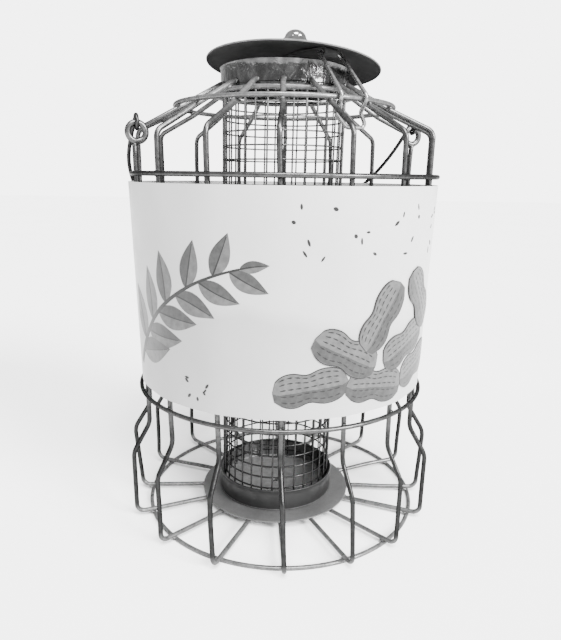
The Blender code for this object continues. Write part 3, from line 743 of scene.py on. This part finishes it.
def make_cage():
    """The cage's bent wires, its eyes, its rings and the weld beads between them."""
    eyes = {LEFT_EYE_UPRIGHT: "left", RIGHT_EYE_UPRIGHT: "right"}
    for index in range(UPRIGHTS):
        name = f"cage_wire_{index + 1:02d}"
        lower = [
            (upright_point(index, PLATE_RADIUS - SPOKE_LAP, SPOKE_HEIGHT), 0),
            (upright_point(index, FOOT_RADIUS - FOOT_PULL.get(index, 0), SPOKE_HEIGHT), FOOT_BEND),
            (upright_point(index, FOOT_RADIUS, FLARE_LOW), FLARE_BEND),
            (upright_point(index, DRUM_RADIUS, FLARE_HIGH), FLARE_BEND),
        ]
        knee = (upright_point(index, KNEE_RADIUS, KNEE_HEIGHT), KNEE_BEND)
        end = (upright_point(index, roof_end_radius() - SEAT_GAP, ROOF_TOP_HEIGHT), 0)
        if index in eyes:
            side = eyes[index]
            eye = eye_centre(index)
            corners = lower + [(upright_point(index, DRUM_RADIUS, eye.z - EYE_RADIUS), 0)]
            make_eye(side, eye, knee, end)
        else:
            drop = SHOULDER_DROP.get(index, 0)
            shoulder = (upright_point(index, DRUM_RADIUS, SHOULDER_HEIGHT - drop), SHOULDER_BEND)
            corners = lower + [shoulder, knee, end]
        route = strung(rounded(corners))
        thickness = CAGE_WIRE
        if index not in BESIDE_LOOP:
            route = wandered(route, index)
            thickness = CAGE_FINE_WIRE
        dress(wires(f"{name}_fine", [(route, False)], thickness, CAGE_STEEL), "cage steel", name)

    rings = {
        "foot_ring": (FOOT_RING_RADIUS, RING_WIRE / 2),
        "lower_ring": (HOOP_RADIUS - SEAT_GAP, LOWER_RING_HEIGHT),
        "upper_ring": (HOOP_RADIUS - SEAT_GAP, UPPER_RING_HEIGHT),
        "dome_ring": dome_ring_place(0),
        "neck_ring": neck_ring_place(),
    }
    for name, (radius, height) in rings.items():
        points = [polar(radius, angle, height) for angle in turns(RING_STEPS)]
        ring = wires(f"{name}_fine", [(points, True)], RING_FINE_WIRE, CAGE_STEEL)
        dress(shifted(ring, RING_SHIFT.get(name, 0)), "cage steel", name)
    make_welds(rings)


def make_eye(side, eye, knee, end):
    """A handle eye and the short roof wire that starts on it."""
    start = eye + (knee[0] - eye).normalized() * EYE_RADIUS
    route = rounded([(start, 0), knee, end])
    spur = wires(f"roof_spur_{side}_fine", [(route, False)], CAGE_FINE_WIRE, CAGE_STEEL)
    dress(spur, "cage steel", f"roof_spur_{side}")
    out = Vector((eye.x, eye.y, 0)).normalized()
    reach = EYE_RADIUS - EYE_TRIM
    points = [eye + (out * cos(angle) + UP * sin(angle)) * reach for angle in turns(EYE_STEPS)]
    ring = wires(f"handle_eye_{side}_fine", [(points, True)], EYE_WIRE, CAGE_STEEL)
    if side == "left":
        shifted(ring, LEFT_EYE_SHIFT)
    dress(ring, "cage steel", f"handle_eye_{side}")


def make_welds(rings):
    """A bead at each crossing of a ring and a wire, and at the wires' ends."""
    chance = random.Random(7)
    places = []
    lower = atan2(KNEE_RISE, DRUM_RADIUS - KNEE_RADIUS)
    tilts = {"dome_ring": (lower + roof_slope()) / 2, "neck_ring": roof_slope() + pi}

    def bead(point, along, across, out, size):
        """One bead, a little different from the next."""
        length, width, depth = size
        vary = chance.uniform(0.9, 1.15) * MM
        places.append((point, (along * length * vary, across * width * vary, out * depth * MM)))

    def crossing(index, height):
        """An upright's angle at a height, and the directions out and sideways there."""
        angle = upright_angle(index, height)
        out = polar(1, angle, 0)
        return angle, out, UP.cross(out)

    for index in range(UPRIGHTS):
        for name, (radius, height) in rings.items():
            angle, out, side = crossing(index, height)
            if name == "foot_ring":
                bead(polar(radius, angle, RING_WIRE + BEAD_LIFT), out, side, UP, FOOT_BEAD)
            elif name in tilts:
                out = polar(sin(tilts[name]), angle, cos(tilts[name]))
                point = polar(radius, angle, height) - out * RING_WIRE / 2
                bead(point, out.cross(side), side, out, RING_BEAD)
            else:
                bead(polar(DRUM_RADIUS + CAGE_WIRE / 2, angle, height), UP, side, out, RING_BEAD)
        angle, out, side = crossing(index, ROOF_TOP_HEIGHT)
        point = polar(COLLAR_OUTER + 0.3 * MM, angle, ROOF_TOP_HEIGHT - 0.2 * MM)
        bead(point, side, UP, out, COLLAR_BEAD)
        angle, out, side = crossing(index, SPOKE_HEIGHT)
        for inset in (2.5 * MM, 7 * MM):
            bead(polar(PLATE_RADIUS - inset, angle, PLATE_FOOT - BEAD_LIFT), out, side, UP, SPOKE_BEAD)
    for index in (LEFT_EYE_UPRIGHT, RIGHT_EYE_UPRIGHT):
        eye = eye_centre(index)
        out = Vector((eye.x, eye.y, 0)).normalized()
        side = UP.cross(out)
        bead(eye - UP * (EYE_OUTER + BEAD_LIFT), side, out, UP, EYE_BEAD)
        inward = (upright_point(index, KNEE_RADIUS, KNEE_HEIGHT) - eye).normalized()
        bead(eye + inward * (EYE_OUTER + BEAD_LIFT), side, inward.cross(side), inward, SPUR_BEAD)
    dress(blobs("cage_welds", places, CAGE_STEEL), "cage steel")


def lean(item):
    """Let the foot of a core piece stand a little to the left and front of the collar above it."""
    if item.type == "MESH":
        points = item.data.vertices
    else:
        points = [point for spline in item.data.splines for point in spline.points]
    for point in points:
        share = max(0, 1 - point.co.z / COLLAR_FOOT)
        point.co.x -= CORE_LEAN * share
        point.co.y -= CORE_LEAN_FRONT * share
    return item


def make_core():
    """Base plate, tray, mesh tube and collar."""
    edge = 0.35 * MM
    outline = [(DRAIN_RADIUS, PLATE_FOOT), (PLATE_RADIUS - edge, PLATE_FOOT)]
    outline += arc((PLATE_RADIUS - edge, PLATE_FOOT + edge), edge, -90, 0, 3)
    outline += arc((PLATE_RADIUS - edge, PLATE_TOP - edge), edge, 0, 90, 3)
    for share in (0.86, 0.7, 0.55, 0.4, 0.25, 0.1):
        outline.append((PLATE_RADIUS * share, PLATE_TOP))
    outline.append((DRAIN_RADIUS, PLATE_TOP))

    def dished(index, angle, radius, height):
        """A sheet's slight waviness near its edge."""
        wave = PLATE_WAVE * sin(3 * angle + 1) * smooth(0.6, 1, radius / PLATE_RADIUS)
        return radius, height + wave

    dress(lean(turned("base_plate_fine", outline, PLATE_STEEL, shape=dished)), "plate steel", "base_plate")

    rim = TRAY_FOOT + TRAY_HEIGHT
    inner = TRAY_OUTER - TRAY_SHEET
    corner = 1.8 * MM
    roll = 0.55 * MM
    outline = [(DRAIN_RADIUS, TRAY_FOOT), (DRAIN_RADIUS + 2 * MM, TRAY_FOOT), (inner * 0.6, TRAY_FOOT)]
    outline += arc((TRAY_OUTER - corner, TRAY_FOOT + corner), corner, -90, 0, 6)
    outline.append((TRAY_OUTER, rim - 4 * MM))
    outline += arc((TRAY_OUTER - roll, rim - roll), roll + 0.15 * MM, -40, 220, 12)
    outline.append((inner, rim - 4 * MM))
    inside = corner - TRAY_SHEET
    outline += arc((inner - inside, TRAY_FLOOR + inside), inside, 0, -90, 5)
    outline += [(radius, TRAY_FLOOR) for radius in (inner * 0.75, inner * 0.35, DRAIN_RADIUS + 1.2 * MM)]
    outline += arc((DRAIN_RADIUS + 0.6 * MM, TRAY_FLOOR - 0.35 * MM), 0.4 * MM, 90, 180, 3)
    dress(lean(turned("tray_fine", outline, TRAY_STEEL)), "tray steel", "tray")
    make_mesh_tube()
    make_collar()


def make_mesh_tube():
    """Welded mesh rolled into a tube: the wires along it and the wires round it."""
    foot = TRAY_FLOOR + SEAT_GAP
    top = COLLAR_TOP - MESH_TOP_INSET
    chance = random.Random(11)
    routes = []
    steps = 24
    for turn in turns(MESH_COLUMNS):
        angle = MESH_PHASE + turn + radians(chance.uniform(-0.25, 0.25))
        heights = [foot + (top - foot) * step / steps for step in range(steps + 1)]
        routes.append(([polar(MESH_RADIUS, angle, height) for height in heights], False))
    rows = int((top - foot - MESH_WIRE) / MESH_ROW_PITCH)
    first = top - MESH_WIRE - rows * MESH_ROW_PITCH
    for row in range(rows + 1):
        height = first + row * MESH_ROW_PITCH + chance.uniform(-0.15, 0.15) * MM
        tilt = chance.uniform(-0.2, 0.2) * MM
        radius = MESH_RADIUS - MESH_ROW_INSET
        points = [polar(radius, angle, height + tilt * sin(angle)) for angle in turns(MESH_RING_STEPS)]
        routes.append((points, True))
    mesh = lean(wires("mesh_tube_fine", routes, MESH_WIRE, MESH_STEEL, roundness=1))
    dress(mesh, "mesh steel", "mesh_tube")


def make_collar():
    """The collar: a rolled strip with a lapped seam, a folded hem and a rolled upper edge."""
    hem = COLLAR_OUTER + COLLAR_SHEET
    hem_top = COLLAR_FOOT + HEM_HEIGHT
    bead = 0.5 * MM
    outline = [(COLLAR_INNER, COLLAR_FOOT + 0.3 * MM), (COLLAR_INNER + 0.3 * MM, COLLAR_FOOT)]
    outline += arc((hem - bead, COLLAR_FOOT + bead), bead, -90, 0, 4)
    outline += arc((hem - bead, hem_top - bead), bead, 0, 70, 4)
    outline += [(COLLAR_OUTER, hem_top + 0.5 * MM), (COLLAR_OUTER, hem_top + 2.4 * MM),
                (COLLAR_OUTER, COLLAR_TOP - 4 * MM), (COLLAR_OUTER, COLLAR_TOP - 1.6 * MM)]
    outline += arc((COLLAR_OUTER - 0.1 * MM, COLLAR_TOP - 0.6 * MM), 0.55 * MM, -30, 150, 6)
    outline += [(COLLAR_INNER, COLLAR_TOP - 2 * MM), (COLLAR_INNER, COLLAR_FOOT + 4 * MM)]

    def rolled(index, angle, radius, height):
        """The strip's lap at its seam, its slight dents and its upper edge, a little higher to the front."""
        past = (angle - COLLAR_SEAM) % TAU
        lap = COLLAR_LAP_LIFT * (1 - smooth(0, 0.5, past)) if radius > COLLAR_INNER + 0.1 * MM else 0
        dents = sin(5 * angle + 40 * height / COLLAR_HEIGHT) + sin(11 * angle - 2) * 0.6
        dents += sin(17 * angle + 3 + 200 * height) * 0.4
        rise = COLLAR_RISE * (1 + cos(angle + radians(30))) / 2
        rise *= smooth(COLLAR_TOP - 6 * MM, COLLAR_TOP - 1.5 * MM, height)
        return radius + lap + dents * COLLAR_DENT, height + rise

    dress(turned("collar_fine", outline, COLLAR_STEEL, steps=288, shape=rolled), "collar steel", "collar")


def sleeve_radius(angle, height):
    """The card's inner radius: flared to the top, and drawn in a little between the wires."""
    share = (height - SLEEVE_FOOT) / (SLEEVE_TOP - SLEEVE_FOOT)
    from_wire = angle - upright_angle(0, height)
    dip = CARD_DIP * sin(from_wire * UPRIGHTS / 2) ** 2
    return SLEEVE_INNER + SLEEVE_FLARE * share - dip


def make_sleeve():
    """The card sleeve, one strip round the drum whose end laps over its start at the right."""
    steps = 300
    levels = 8
    form = bmesh.new()
    grid = []
    for step in range(steps + 1):
        angle = CARD_SEAM + (TAU + CARD_LAP) * step / steps
        over = smooth(CARD_LIFT_START, CARD_LIFT_END, angle - CARD_SEAM)
        column = []
        for outer in (0, 1):
            for level in range(levels + 1):
                height = SLEEVE_FOOT + (SLEEVE_TOP - SLEEVE_FOOT) * level / levels
                radius = sleeve_radius(angle, height) + over * (SLEEVE_CARD + 0.1 * MM) + outer * SLEEVE_CARD
                column.append(form.verts.new(polar(radius, angle, height)))
        grid.append(column[:levels + 1] + column[:levels:-1])
    skin(form, grid)
    for ring in (grid[0], grid[-1]):
        ladder(form, ring)
    dress(finish_mesh("card_sleeve_fine", form, CARD, CARD_SHARP), "card", "card_sleeve")


# Inks of the picture, with their heights above the card, from the lowest to the uppermost
INKS = (("pale", 0.08 * MM, INK_PALE), ("mid", 0.11 * MM, INK_MID), ("dark", 0.14 * MM, INK_DARK),
        ("shells", 0.17 * MM, INK_PALE), ("shade", 0.2 * MM, INK_MID), ("ridges", 0.23 * MM, INK_DARK))

# Twig of the picture: its start, heading, length and bend, its steps and the number of its leaves
TWIG = ((-66, 16), 62, 122, -48)
TWIG_STEPS = 26
LEAVES = 11
LEAF_BEND = 16

# Nuts of the picture: degrees round, millimetres up and heading in degrees
NUT_LENGTH = 46
NUT_HALF_WIDTH = 10.8
NUT_LAYER = 0.14 * MM
NUT_BEND = 12
NUTS = ((10, 20, 8), (35, 17, -6), (60, 21, 14), (22, 39, -28), (49, 40, 24), (35, 60, 62), (58, 66, -50))

# Seeds of the picture: how many, and the ranges of degrees round, millimetres up, lengths and half widths
SEEDS = ((22, (2, 68), (92, 122), (2.4, 4.2), (0.6, 1.1)), (7, (-40, -22), (6, 20), (2.4, 3.6), (0.6, 1.0)))


class Ink:
    """One tone of the picture on the sleeve: thin closed strips that follow the card."""

    def __init__(self, lift):
        self.form = bmesh.new()
        self.lift = lift

    def strip(self, line, widths, across=4, over=0.0):
        """A strip along a line of (degrees round, millimetres up), with a half width for each point."""
        flat = [Vector((place * PRINT_SCALE, height)) for place, height in line]
        sections = []
        for index, (point, width) in enumerate(zip(flat, widths)):
            run = (flat[min(index + 1, len(flat) - 1)] - flat[max(index - 1, 0)]).normalized()
            side = Vector((-run.y, run.x))
            section = []
            for deep in (0, 1):
                for step in range(across + 1):
                    spot = point + side * width * (2 * step / across - 1)
                    angle = radians(spot.x / PRINT_SCALE)
                    height = SLEEVE_FOOT + spot.y * MM
                    lift = -INK_DEPTH if deep else self.lift + over
                    radius = sleeve_radius(angle, height) + SLEEVE_CARD + lift
                    section.append(self.form.verts.new(polar(radius, angle, height)))
            sections.append(section[:across + 1] + section[:across:-1])
        skin(self.form, sections)
        for section in (sections[0], sections[-1]):
            self.form.faces.new(section)

    def finish(self, name, material):
        """The tone as one piece on the card."""
        dress(finish_mesh(name, self.form, material, CARD_SHARP), "card")


def curve_line(start, heading, length, bend, steps):
    """A line of (degrees round, millimetres up) from a start, with a heading and a bend in degrees."""
    place, height = start
    line = [start]
    for step in range(steps):
        angle = radians(heading + bend * (step + 0.5) / steps)
        place += cos(angle) * length / steps / PRINT_SCALE
        height += sin(angle) * length / steps
        line.append((place, height))
    return line


def along(line, share):
    """The point and heading at a share of a line."""
    index = min(int(share * (len(line) - 1)), len(line) - 2)
    rest = share * (len(line) - 1) - index
    place, height = line[index]
    run = line[index + 1][0] - place
    rise = line[index + 1][1] - height
    return (place + run * rest, height + rise * rest), degrees(atan2(rise, run * PRINT_SCALE))


def beside(line, offsets):
    """A line that runs beside another, at an offset in millimetres for each of its points."""
    points = []
    for index, ((place, height), offset) in enumerate(zip(line, offsets)):
        way = radians(along(line, index / (len(line) - 1))[1] + 90)
        points.append((place + cos(way) * offset / PRINT_SCALE, height + sin(way) * offset))
    return points


def print_leaf(inks, start, heading, length, width, bend):
    """A leaf of two tones with its midrib."""
    line = curve_line(start, heading, length, bend, 12)
    widths = [width * sin(pi * min(1, (step / 12) ** 0.8)) + 0.08 for step in range(13)]
    inks["pale"].strip(line, widths, 6)
    inks["mid"].strip(beside(line, [size * 0.5 for size in widths]), [size * 0.44 for size in widths], 3)
    inks["dark"].strip(line[:-1], [0.5 - 0.3 * step / 12 for step in range(12)], 2)


def print_nut(inks, middle, heading, over, bend):
    """A nut in its shell, with an outline, a waist, a shaded side and the shell's ridges."""
    angle = radians(heading)
    reach = NUT_LENGTH / 2
    start = (middle[0] - cos(angle) * reach / PRINT_SCALE, middle[1] - sin(angle) * reach)
    line = curve_line(start, heading, NUT_LENGTH, bend, 20)
    shape = []
    for step in range(21):
        share = step / 20
        ends = sqrt(max(0, 1 - (2 * share - 1) ** 4))
        shape.append(NUT_HALF_WIDTH * ends * (1 - 0.24 * exp(-((share - 0.46) / 0.13) ** 2)) + 0.1)
    inks["dark"].strip(line, [size + 0.7 for size in shape], 6, over)
    inks["shells"].strip(line, shape, 6, over)
    low = -1 if cos(angle) > 0 else 1
    side = beside(line, [size * 0.56 * low for size in shape])
    inks["shade"].strip(side, [size * 0.42 for size in shape], 4, over)
    for offset in (-0.72, -0.3, 0.12, 0.5, 0.82):
        ridge = beside(line, [size * offset for size in shape])
        for step in range(2, 18, 2):
            here = ridge[step:step + 2] + [along(ridge, min(1, (step + 1.5) / 20))[0]]
            inks["ridges"].strip(here, [0.16, 0.5, 0.14], 2, over)


def print_seed(ink, spot, heading, length, width):
    """One small seed."""
    line = curve_line(spot, heading, length, 0, 6)
    ink.strip(line, [width * sin(pi * (step + 0.4) / 6.8) ** 0.7 for step in range(7)], 3)


def make_print():
    """A generic picture on the card, front and back: a leafy twig, nuts in their shells and seeds."""
    inks = {name: Ink(lift) for name, lift, _ in INKS}
    chance = random.Random(5)
    for turn in (0, 180):
        (side, foot), heading, length, bend = TWIG
        stem = curve_line((side + turn, foot), heading, length, bend, TWIG_STEPS)
        inks["dark"].strip(stem, [1.9 - 1.3 * step / TWIG_STEPS for step in range(TWIG_STEPS + 1)], 3)
        for number in range(LEAVES):
            place, way = along(stem, 0.1 + 0.085 * number)
            way += (1 if number % 2 else -1) * (46 + 4 * (number % 3))
            bend = chance.uniform(-LEAF_BEND, LEAF_BEND)
            print_leaf(inks, place, way, 38 - 1.3 * number, 8.6 - 0.3 * number, bend)
        tip, way = along(stem, 1.0)
        print_leaf(inks, tip, way, 17, 3.4, chance.uniform(-LEAF_BEND, LEAF_BEND))
        for number, (round_at, up_at, heading) in enumerate(NUTS):
            middle = (round_at + turn, up_at)
            print_nut(inks, middle, heading, NUT_LAYER * number, chance.uniform(-NUT_BEND, NUT_BEND))
        for count, sides, heights, lengths, widths in SEEDS:
            for _ in range(count):
                spot = (chance.uniform(*sides) + turn, chance.uniform(*heights))
                heading = chance.uniform(0, 180)
                print_seed(inks["dark"], spot, heading, chance.uniform(*lengths), chance.uniform(*widths))
    for name, _, look in INKS:
        inks[name].finish(f"card_print_{name}", look)


def eye_axis():
    """Middle of the line through the tops of the eyes, and the directions along it, back and up."""
    left, right = (eye_centre(index) + UP * EYE_RADIUS for index in (LEFT_EYE_UPRIGHT, RIGHT_EYE_UPRIGHT))
    along_axis = (right - left).normalized()
    back = UP.cross(along_axis).normalized()
    return (left + right) / 2, along_axis, back, along_axis.cross(back)


def make_bail():
    """The bail, hanging back on the upper ring."""
    middle, along_axis, back, up = eye_axis()
    depth = back * sin(BAIL_REST) - up * cos(BAIL_REST)
    axes = Matrix((along_axis, depth, along_axis.cross(depth))).transposed()
    place = Matrix.Translation(middle) @ axes.to_4x4()
    arc_steps = ceil(HOOK_SWEEP / BEND_STEP)
    hook = []
    for step in range(arc_steps):
        angle = HOOK_SWEEP * (1 - step / arc_steps)
        hook.append(Vector((0, -HOOK_RADIUS * sin(angle), HOOK_RADIUS * cos(angle))))
    steps = 64
    arch = []
    for step in range(steps + 1):
        angle = pi * step / steps
        across = copysign(abs(cos(angle)) ** (2 / BAIL_FULLNESS), -cos(angle))
        reach = abs(sin(angle)) ** (2 / BAIL_FULLNESS)
        spread = DRUM_RADIUS + BAIL_SPLAY * (1 - (1 - reach) ** BAIL_SPLAY_POWER)
        if across < 0:
            spread -= LEFT_EYE_SHIFT * (1 - smooth(0, 0.35, reach))
        arch.append(Vector((spread * across, BAIL_DEPTH * reach, HOOK_RADIUS)))
    left = Vector((LEFT_EYE_SHIFT - DRUM_RADIUS, 0, 0))
    right = Vector((DRUM_RADIUS, 0, 0))
    route = [left + point for point in hook] + arch + [right + point for point in reversed(hook)]
    route = [place @ point for point in route]
    bail = wires("bail_handle_fine", [(route, False)], BAIL_FINE_WIRE, BAIL_STEEL)
    dress(bail, "bare steel", "bail_handle", body="bail")


def lid_axes():
    """The lid's frame: along its hinge, inwards across the lid, and up."""
    up = Vector((tan(LID_TILT_LEFT), tan(LID_TILT_FRONT), 1)).normalized()
    level = Vector((cos(LOOP_AZIMUTH), sin(LOOP_AZIMUTH), 0))
    along_hinge = (level - up * level.dot(up)).normalized()
    return along_hinge, up.cross(along_hinge), up


def lid_matrix():
    """Places what is modelled with the lid's edge at Z = 0 and the hinge towards -Y."""
    return Matrix.Translation(LID_CENTRE) @ Matrix(lid_axes()).transposed().to_4x4()


def lid_underside(radius):
    """Height of the lid's underside above the plane of its edge: a shallow dish, level at its pad."""
    return LID_DISH * (1 - (max(radius, LID_PAD_RADIUS) / LID_RADIUS) ** 2)


def bar_place():
    """Height of the loop's top bar above the plane of the lid's edge."""
    strap_top = lid_underside(hypot(STRAP_REACH, STRAP_WIDTH / 2)) - SEAT_GAP
    return strap_top - STRAP_SHEET - SEAT_GAP - LOOP_WIRE / 2


def dress_lid(item, slot, node):
    """Put a finished piece in the lid's frame and let it ride on the lid."""
    item.matrix_world = lid_matrix()
    dress(item, slot, node, body="lid")


def hexagon_reach(angle):
    """How much further than its flats a hexagon reaches at an angle."""
    sixth = pi / 3
    return 1 / cos(angle % sixth - sixth / 2)


def make_lid():
    """Lid, cap nut, screw and strap."""
    pad = lid_underside(0)
    radii = [SCREW_HOLE, LID_PAD_RADIUS * 0.5, LID_PAD_RADIUS * 0.9]
    steps = 14
    width = LID_RADIUS - 1.2 * MM - LID_PAD_RADIUS
    radii += [LID_PAD_RADIUS + width * step / steps for step in range(steps + 1)]
    under = [(radius, lid_underside(radius)) for radius in radii]
    roll = LID_SHEET / 2 + 0.1 * MM
    outline = under + arc((LID_RADIUS - roll, roll), roll, -100, 80, 8)
    outline += [(radius, height + LID_SHEET) for radius, height in reversed(under)]
    dress_lid(turned("lid_fine", outline, LID_STEEL, steps=180), "lid steel", "lid")

    seat = pad + LID_SHEET + SEAT_GAP
    dress_lid(cap_nut(seat), "chrome", "cap_nut")

    strap_top = pad - SEAT_GAP
    head_top = strap_top - STRAP_SHEET - SEAT_GAP
    head = SCREW_HEAD_HEIGHT
    outline = [(0, head_top - head * 0.45), (SCREW_HEAD_RADIUS * 0.42, head_top - head * 0.45),
               (SCREW_HEAD_RADIUS * 0.45, head_top - head * 0.96),
               (SCREW_HEAD_RADIUS * 0.6, head_top - head)]
    outline += arc((SCREW_HEAD_RADIUS * 0.62, head_top - head * 0.5), SCREW_HEAD_RADIUS * 0.38, -60, 20, 6)
    end = seat + SCREW_GRIP
    outline += [(SCREW_HEAD_RADIUS, head_top), (SCREW_RADIUS, head_top), (SCREW_RADIUS, end), (0, end)]

    def socket(index, angle, radius, height):
        """The hexagon socket in the head."""
        flat = cos(pi / 6) * hexagon_reach(angle) if index in (1, 2) else 1
        return radius * flat, height

    screw = turned("lid_screw_fine", outline, SCREW_STEEL, steps=48, shape=socket)
    dress_lid(screw, "chrome", "lid_screw")
    make_strap(strap_top)


def cap_nut(seat):
    """A hexagon nut with chamfered corners and a domed cap."""
    apothem = NUT_FINE_FLATS / 2
    point = apothem / cos(pi / 6)
    hex_top = seat + NUT_HEX_HEIGHT + NUT_LIFT
    dome = NUT_FINE_DOME
    flat = (NUT_DOME_RADIUS - NUT_LIFT) / dome
    chamfer = 0.9 * MM
    outline = [(0, seat + 0.2 * MM), (SCREW_HOLE, seat + 0.2 * MM), (SCREW_HOLE, seat)]
    hexagon = {}
    cuts = ((0, apothem * 1.02), (chamfer * 0.4, apothem * 1.09), (chamfer * 0.8, point))
    levels = [(seat + cut, limit) for cut, limit in cuts]
    levels += [(hex_top - cut, limit) for cut, limit in reversed(cuts)]
    for height, limit in levels:
        hexagon[len(outline)] = limit
        outline.append((apothem, height))
    outline.append((dome * 0.985, hex_top + 0.05 * MM))
    outline += [(radius, hex_top + height * flat) for radius, height in arc((0, 0), dome, 6, 84, 14)]
    outline.append((0, hex_top + dome * flat))

    def flats(index, angle, radius, height):
        """A hexagon whose corners are cut by the chamfer."""
        if index in hexagon:
            radius = min(radius * hexagon_reach(angle), hexagon[index])
        return radius, height

    return turned("cap_nut_fine", outline, CHROME, steps=96, shape=flats, sharp=NUT_SHARP)


def make_strap(strap_top):
    """Flat strap under the lid, curled round the loop's top bar."""
    middle = STRAP_SHEET / 2
    bar = bar_place()
    curl = LOOP_WIRE / 2 + SEAT_GAP + middle
    line = [(STRAP_TAIL, strap_top - middle), (-STRAP_TAIL * 0.8, strap_top - middle),
            (-STRAP_TAIL * 1.2, strap_top - middle - 0.05 * MM), (-STRAP_REACH, bar + curl)]
    steps = ceil(STRAP_CURL / radians(10))
    for step in range(1, steps + 1):
        angle = pi / 2 + STRAP_CURL * step / steps
        line.append((curl * cos(angle) - STRAP_REACH, bar + curl * sin(angle)))
    line = [Vector(point) for point in line]
    sides = ([], [])
    for index, point in enumerate(line):
        ahead = (line[min(index + 1, len(line) - 1)] - point).normalized()
        behind = (point - line[max(index - 1, 0)]).normalized()
        run = (ahead + behind).normalized()
        across = Vector((-run.y, run.x)) * middle / max(run.dot(ahead), run.dot(behind))
        sides[0].append(point + across)
        sides[1].append(point - across)
    outline = sides[0] + sides[1][::-1]
    form = bmesh.new()
    half = STRAP_WIDTH / 2
    near, far = ([form.verts.new((x, point.x, point.y)) for point in outline] for x in (-half, half))
    ladder(form, near)
    ladder(form, far)
    skin(form, [near, far])
    strap = finish_mesh("lid_strap_fine", form, LID_STEEL, STRAP_SHARP)
    bevel = strap.modifiers.new("edges", "BEVEL")
    bevel.width = 0.18 * MM
    bevel.segments = 2
    bevel.limit_method = "ANGLE"
    bevel.angle_limit = STRAP_SHARP
    dress_lid(strap, "lid steel", "lid_strap")


def hook_corner(top, foot, radius):
    """Corner of a leg which, rounded to a radius, lies round the hinge on its outer side."""
    def touch(point, side):
        """Angle at which a line from the point touches the circle of that radius."""
        return atan2(point.y, point.x) + side * acos(radius / point.length)

    upper = touch(top, -1)
    lower = touch(foot, 1)
    middle = (upper + lower) / 2
    return Vector((cos(middle), sin(middle))) * radius / cos((upper - lower) / 2)


def make_loop():
    """The lid loop, a closed wire: top bar in the strap, legs over the dome ring, lower bar inside."""
    ring_radius, ring_height = dome_ring_place(SEAT_GAP)
    chord = sqrt(ring_radius ** 2 - LOOP_HALF_WIDTH ** 2)
    hinge = polar(chord, LOOP_AZIMUTH, ring_height)
    along_hinge = Vector((cos(LOOP_AZIMUTH), sin(LOOP_AZIMUTH), 0))
    outward = Vector((sin(LOOP_AZIMUTH), -cos(LOOP_AZIMUTH), 0))
    bar = lid_matrix() @ Vector((0, -STRAP_REACH, bar_place()))
    bar_along = lid_axes()[0]
    wrap = (LOOP_WIRE + RING_WIRE) / 2 + HOOK_CLEARANCE

    def spot(sideways, out, up):
        """A point given from the hinge."""
        return hinge + along_hinge * sideways * MM + outward * out * MM + Vector((0, 0, up * MM))

    def leg(side, sideways, foot, end, bend):
        """Corners of one leg, from the top bar's end over the dome ring and down inside it."""
        top = bar + bar_along * side * LOOP_HALF_WIDTH
        seen = Vector(((top - hinge).dot(outward), top.z - hinge.z))
        corner = hook_corner(seen, Vector(foot[1:3]) * MM, wrap) / MM
        return [(top, LOOP_BEND), (spot(sideways, corner.x, corner.y), wrap),
                (spot(*foot), LEG_FOOT_BEND * MM), (spot(*end), bend * MM)]

    points = rounded(leg(-1, *LEFT_LEG) + leg(1, *RIGHT_LEG)[::-1], closed=True)
    loop = wires("lid_loop_fine", [(points, True)], LOOP_WIRE, BARE_STEEL)
    dress(loop, "bare steel", "lid_loop", body="loop")


# Suns of the studio: the direction that each comes from, how wide it looks and its strength
SUNS = {
    "key": ((0.15, -0.75, 1.25), radians(32), 11.2),
    "side": ((0.95, -0.75, 0.55), radians(24), 12.8),
}
ROOM_STRENGTH = 1.1
BACKDROP_STRENGTH = 5.5
FLOOR_HALF_WIDTH = 6


def sun_light(name, direction, angle, energy):
    """Soft light that comes from one direction, equally strong everywhere."""
    data = bpy.data.lights.new(name, "SUN")
    data.angle = angle
    data.energy = energy
    light = bpy.data.objects.new(name, data)
    bpy.context.scene.collection.objects.link(light)
    light.location = Vector(direction)
    light.rotation_euler = Vector(direction).to_track_quat("Z", "Y").to_euler()


def make_studio():
    """Plain pale floor, pale surroundings and soft light from above and the right."""
    form = bmesh.new()
    bmesh.ops.create_grid(form, x_segments=8, y_segments=8, size=FLOOR_HALF_WIDTH)
    floor = finish_mesh("floor", form, floor_paper("floor_look"))
    world = bpy.data.worlds.new("surroundings")
    world.use_nodes = True
    tree = world.node_tree
    ray = tree.nodes.new("ShaderNodeLightPath")
    mix = tree.nodes.new("ShaderNodeMixShader")
    tree.links.new(ray.outputs["Is Camera Ray"], mix.inputs["Fac"])
    room = (tree.nodes["Background"], ROOM_STRENGTH)
    backdrop = (tree.nodes.new("ShaderNodeBackground"), BACKDROP_STRENGTH)
    for index, (node, strength) in enumerate((room, backdrop)):
        node.inputs["Color"].default_value = (1, 1, 1, 1)
        node.inputs["Strength"].default_value = strength
        tree.links.new(node.outputs[0], mix.inputs[index + 1])
    tree.links.new(mix.outputs[0], tree.nodes["World Output"].inputs["Surface"])
    bpy.context.scene.world = world
    for name, sun in SUNS.items():
        sun_light(name, *sun)


def main():
    """Make everything."""
    add_camera()
    make_cage()
    make_core()
    make_sleeve()
    make_print()
    make_bail()
    make_lid()
    make_loop()
    make_studio()
    bpy.context.view_layer.update()


main()
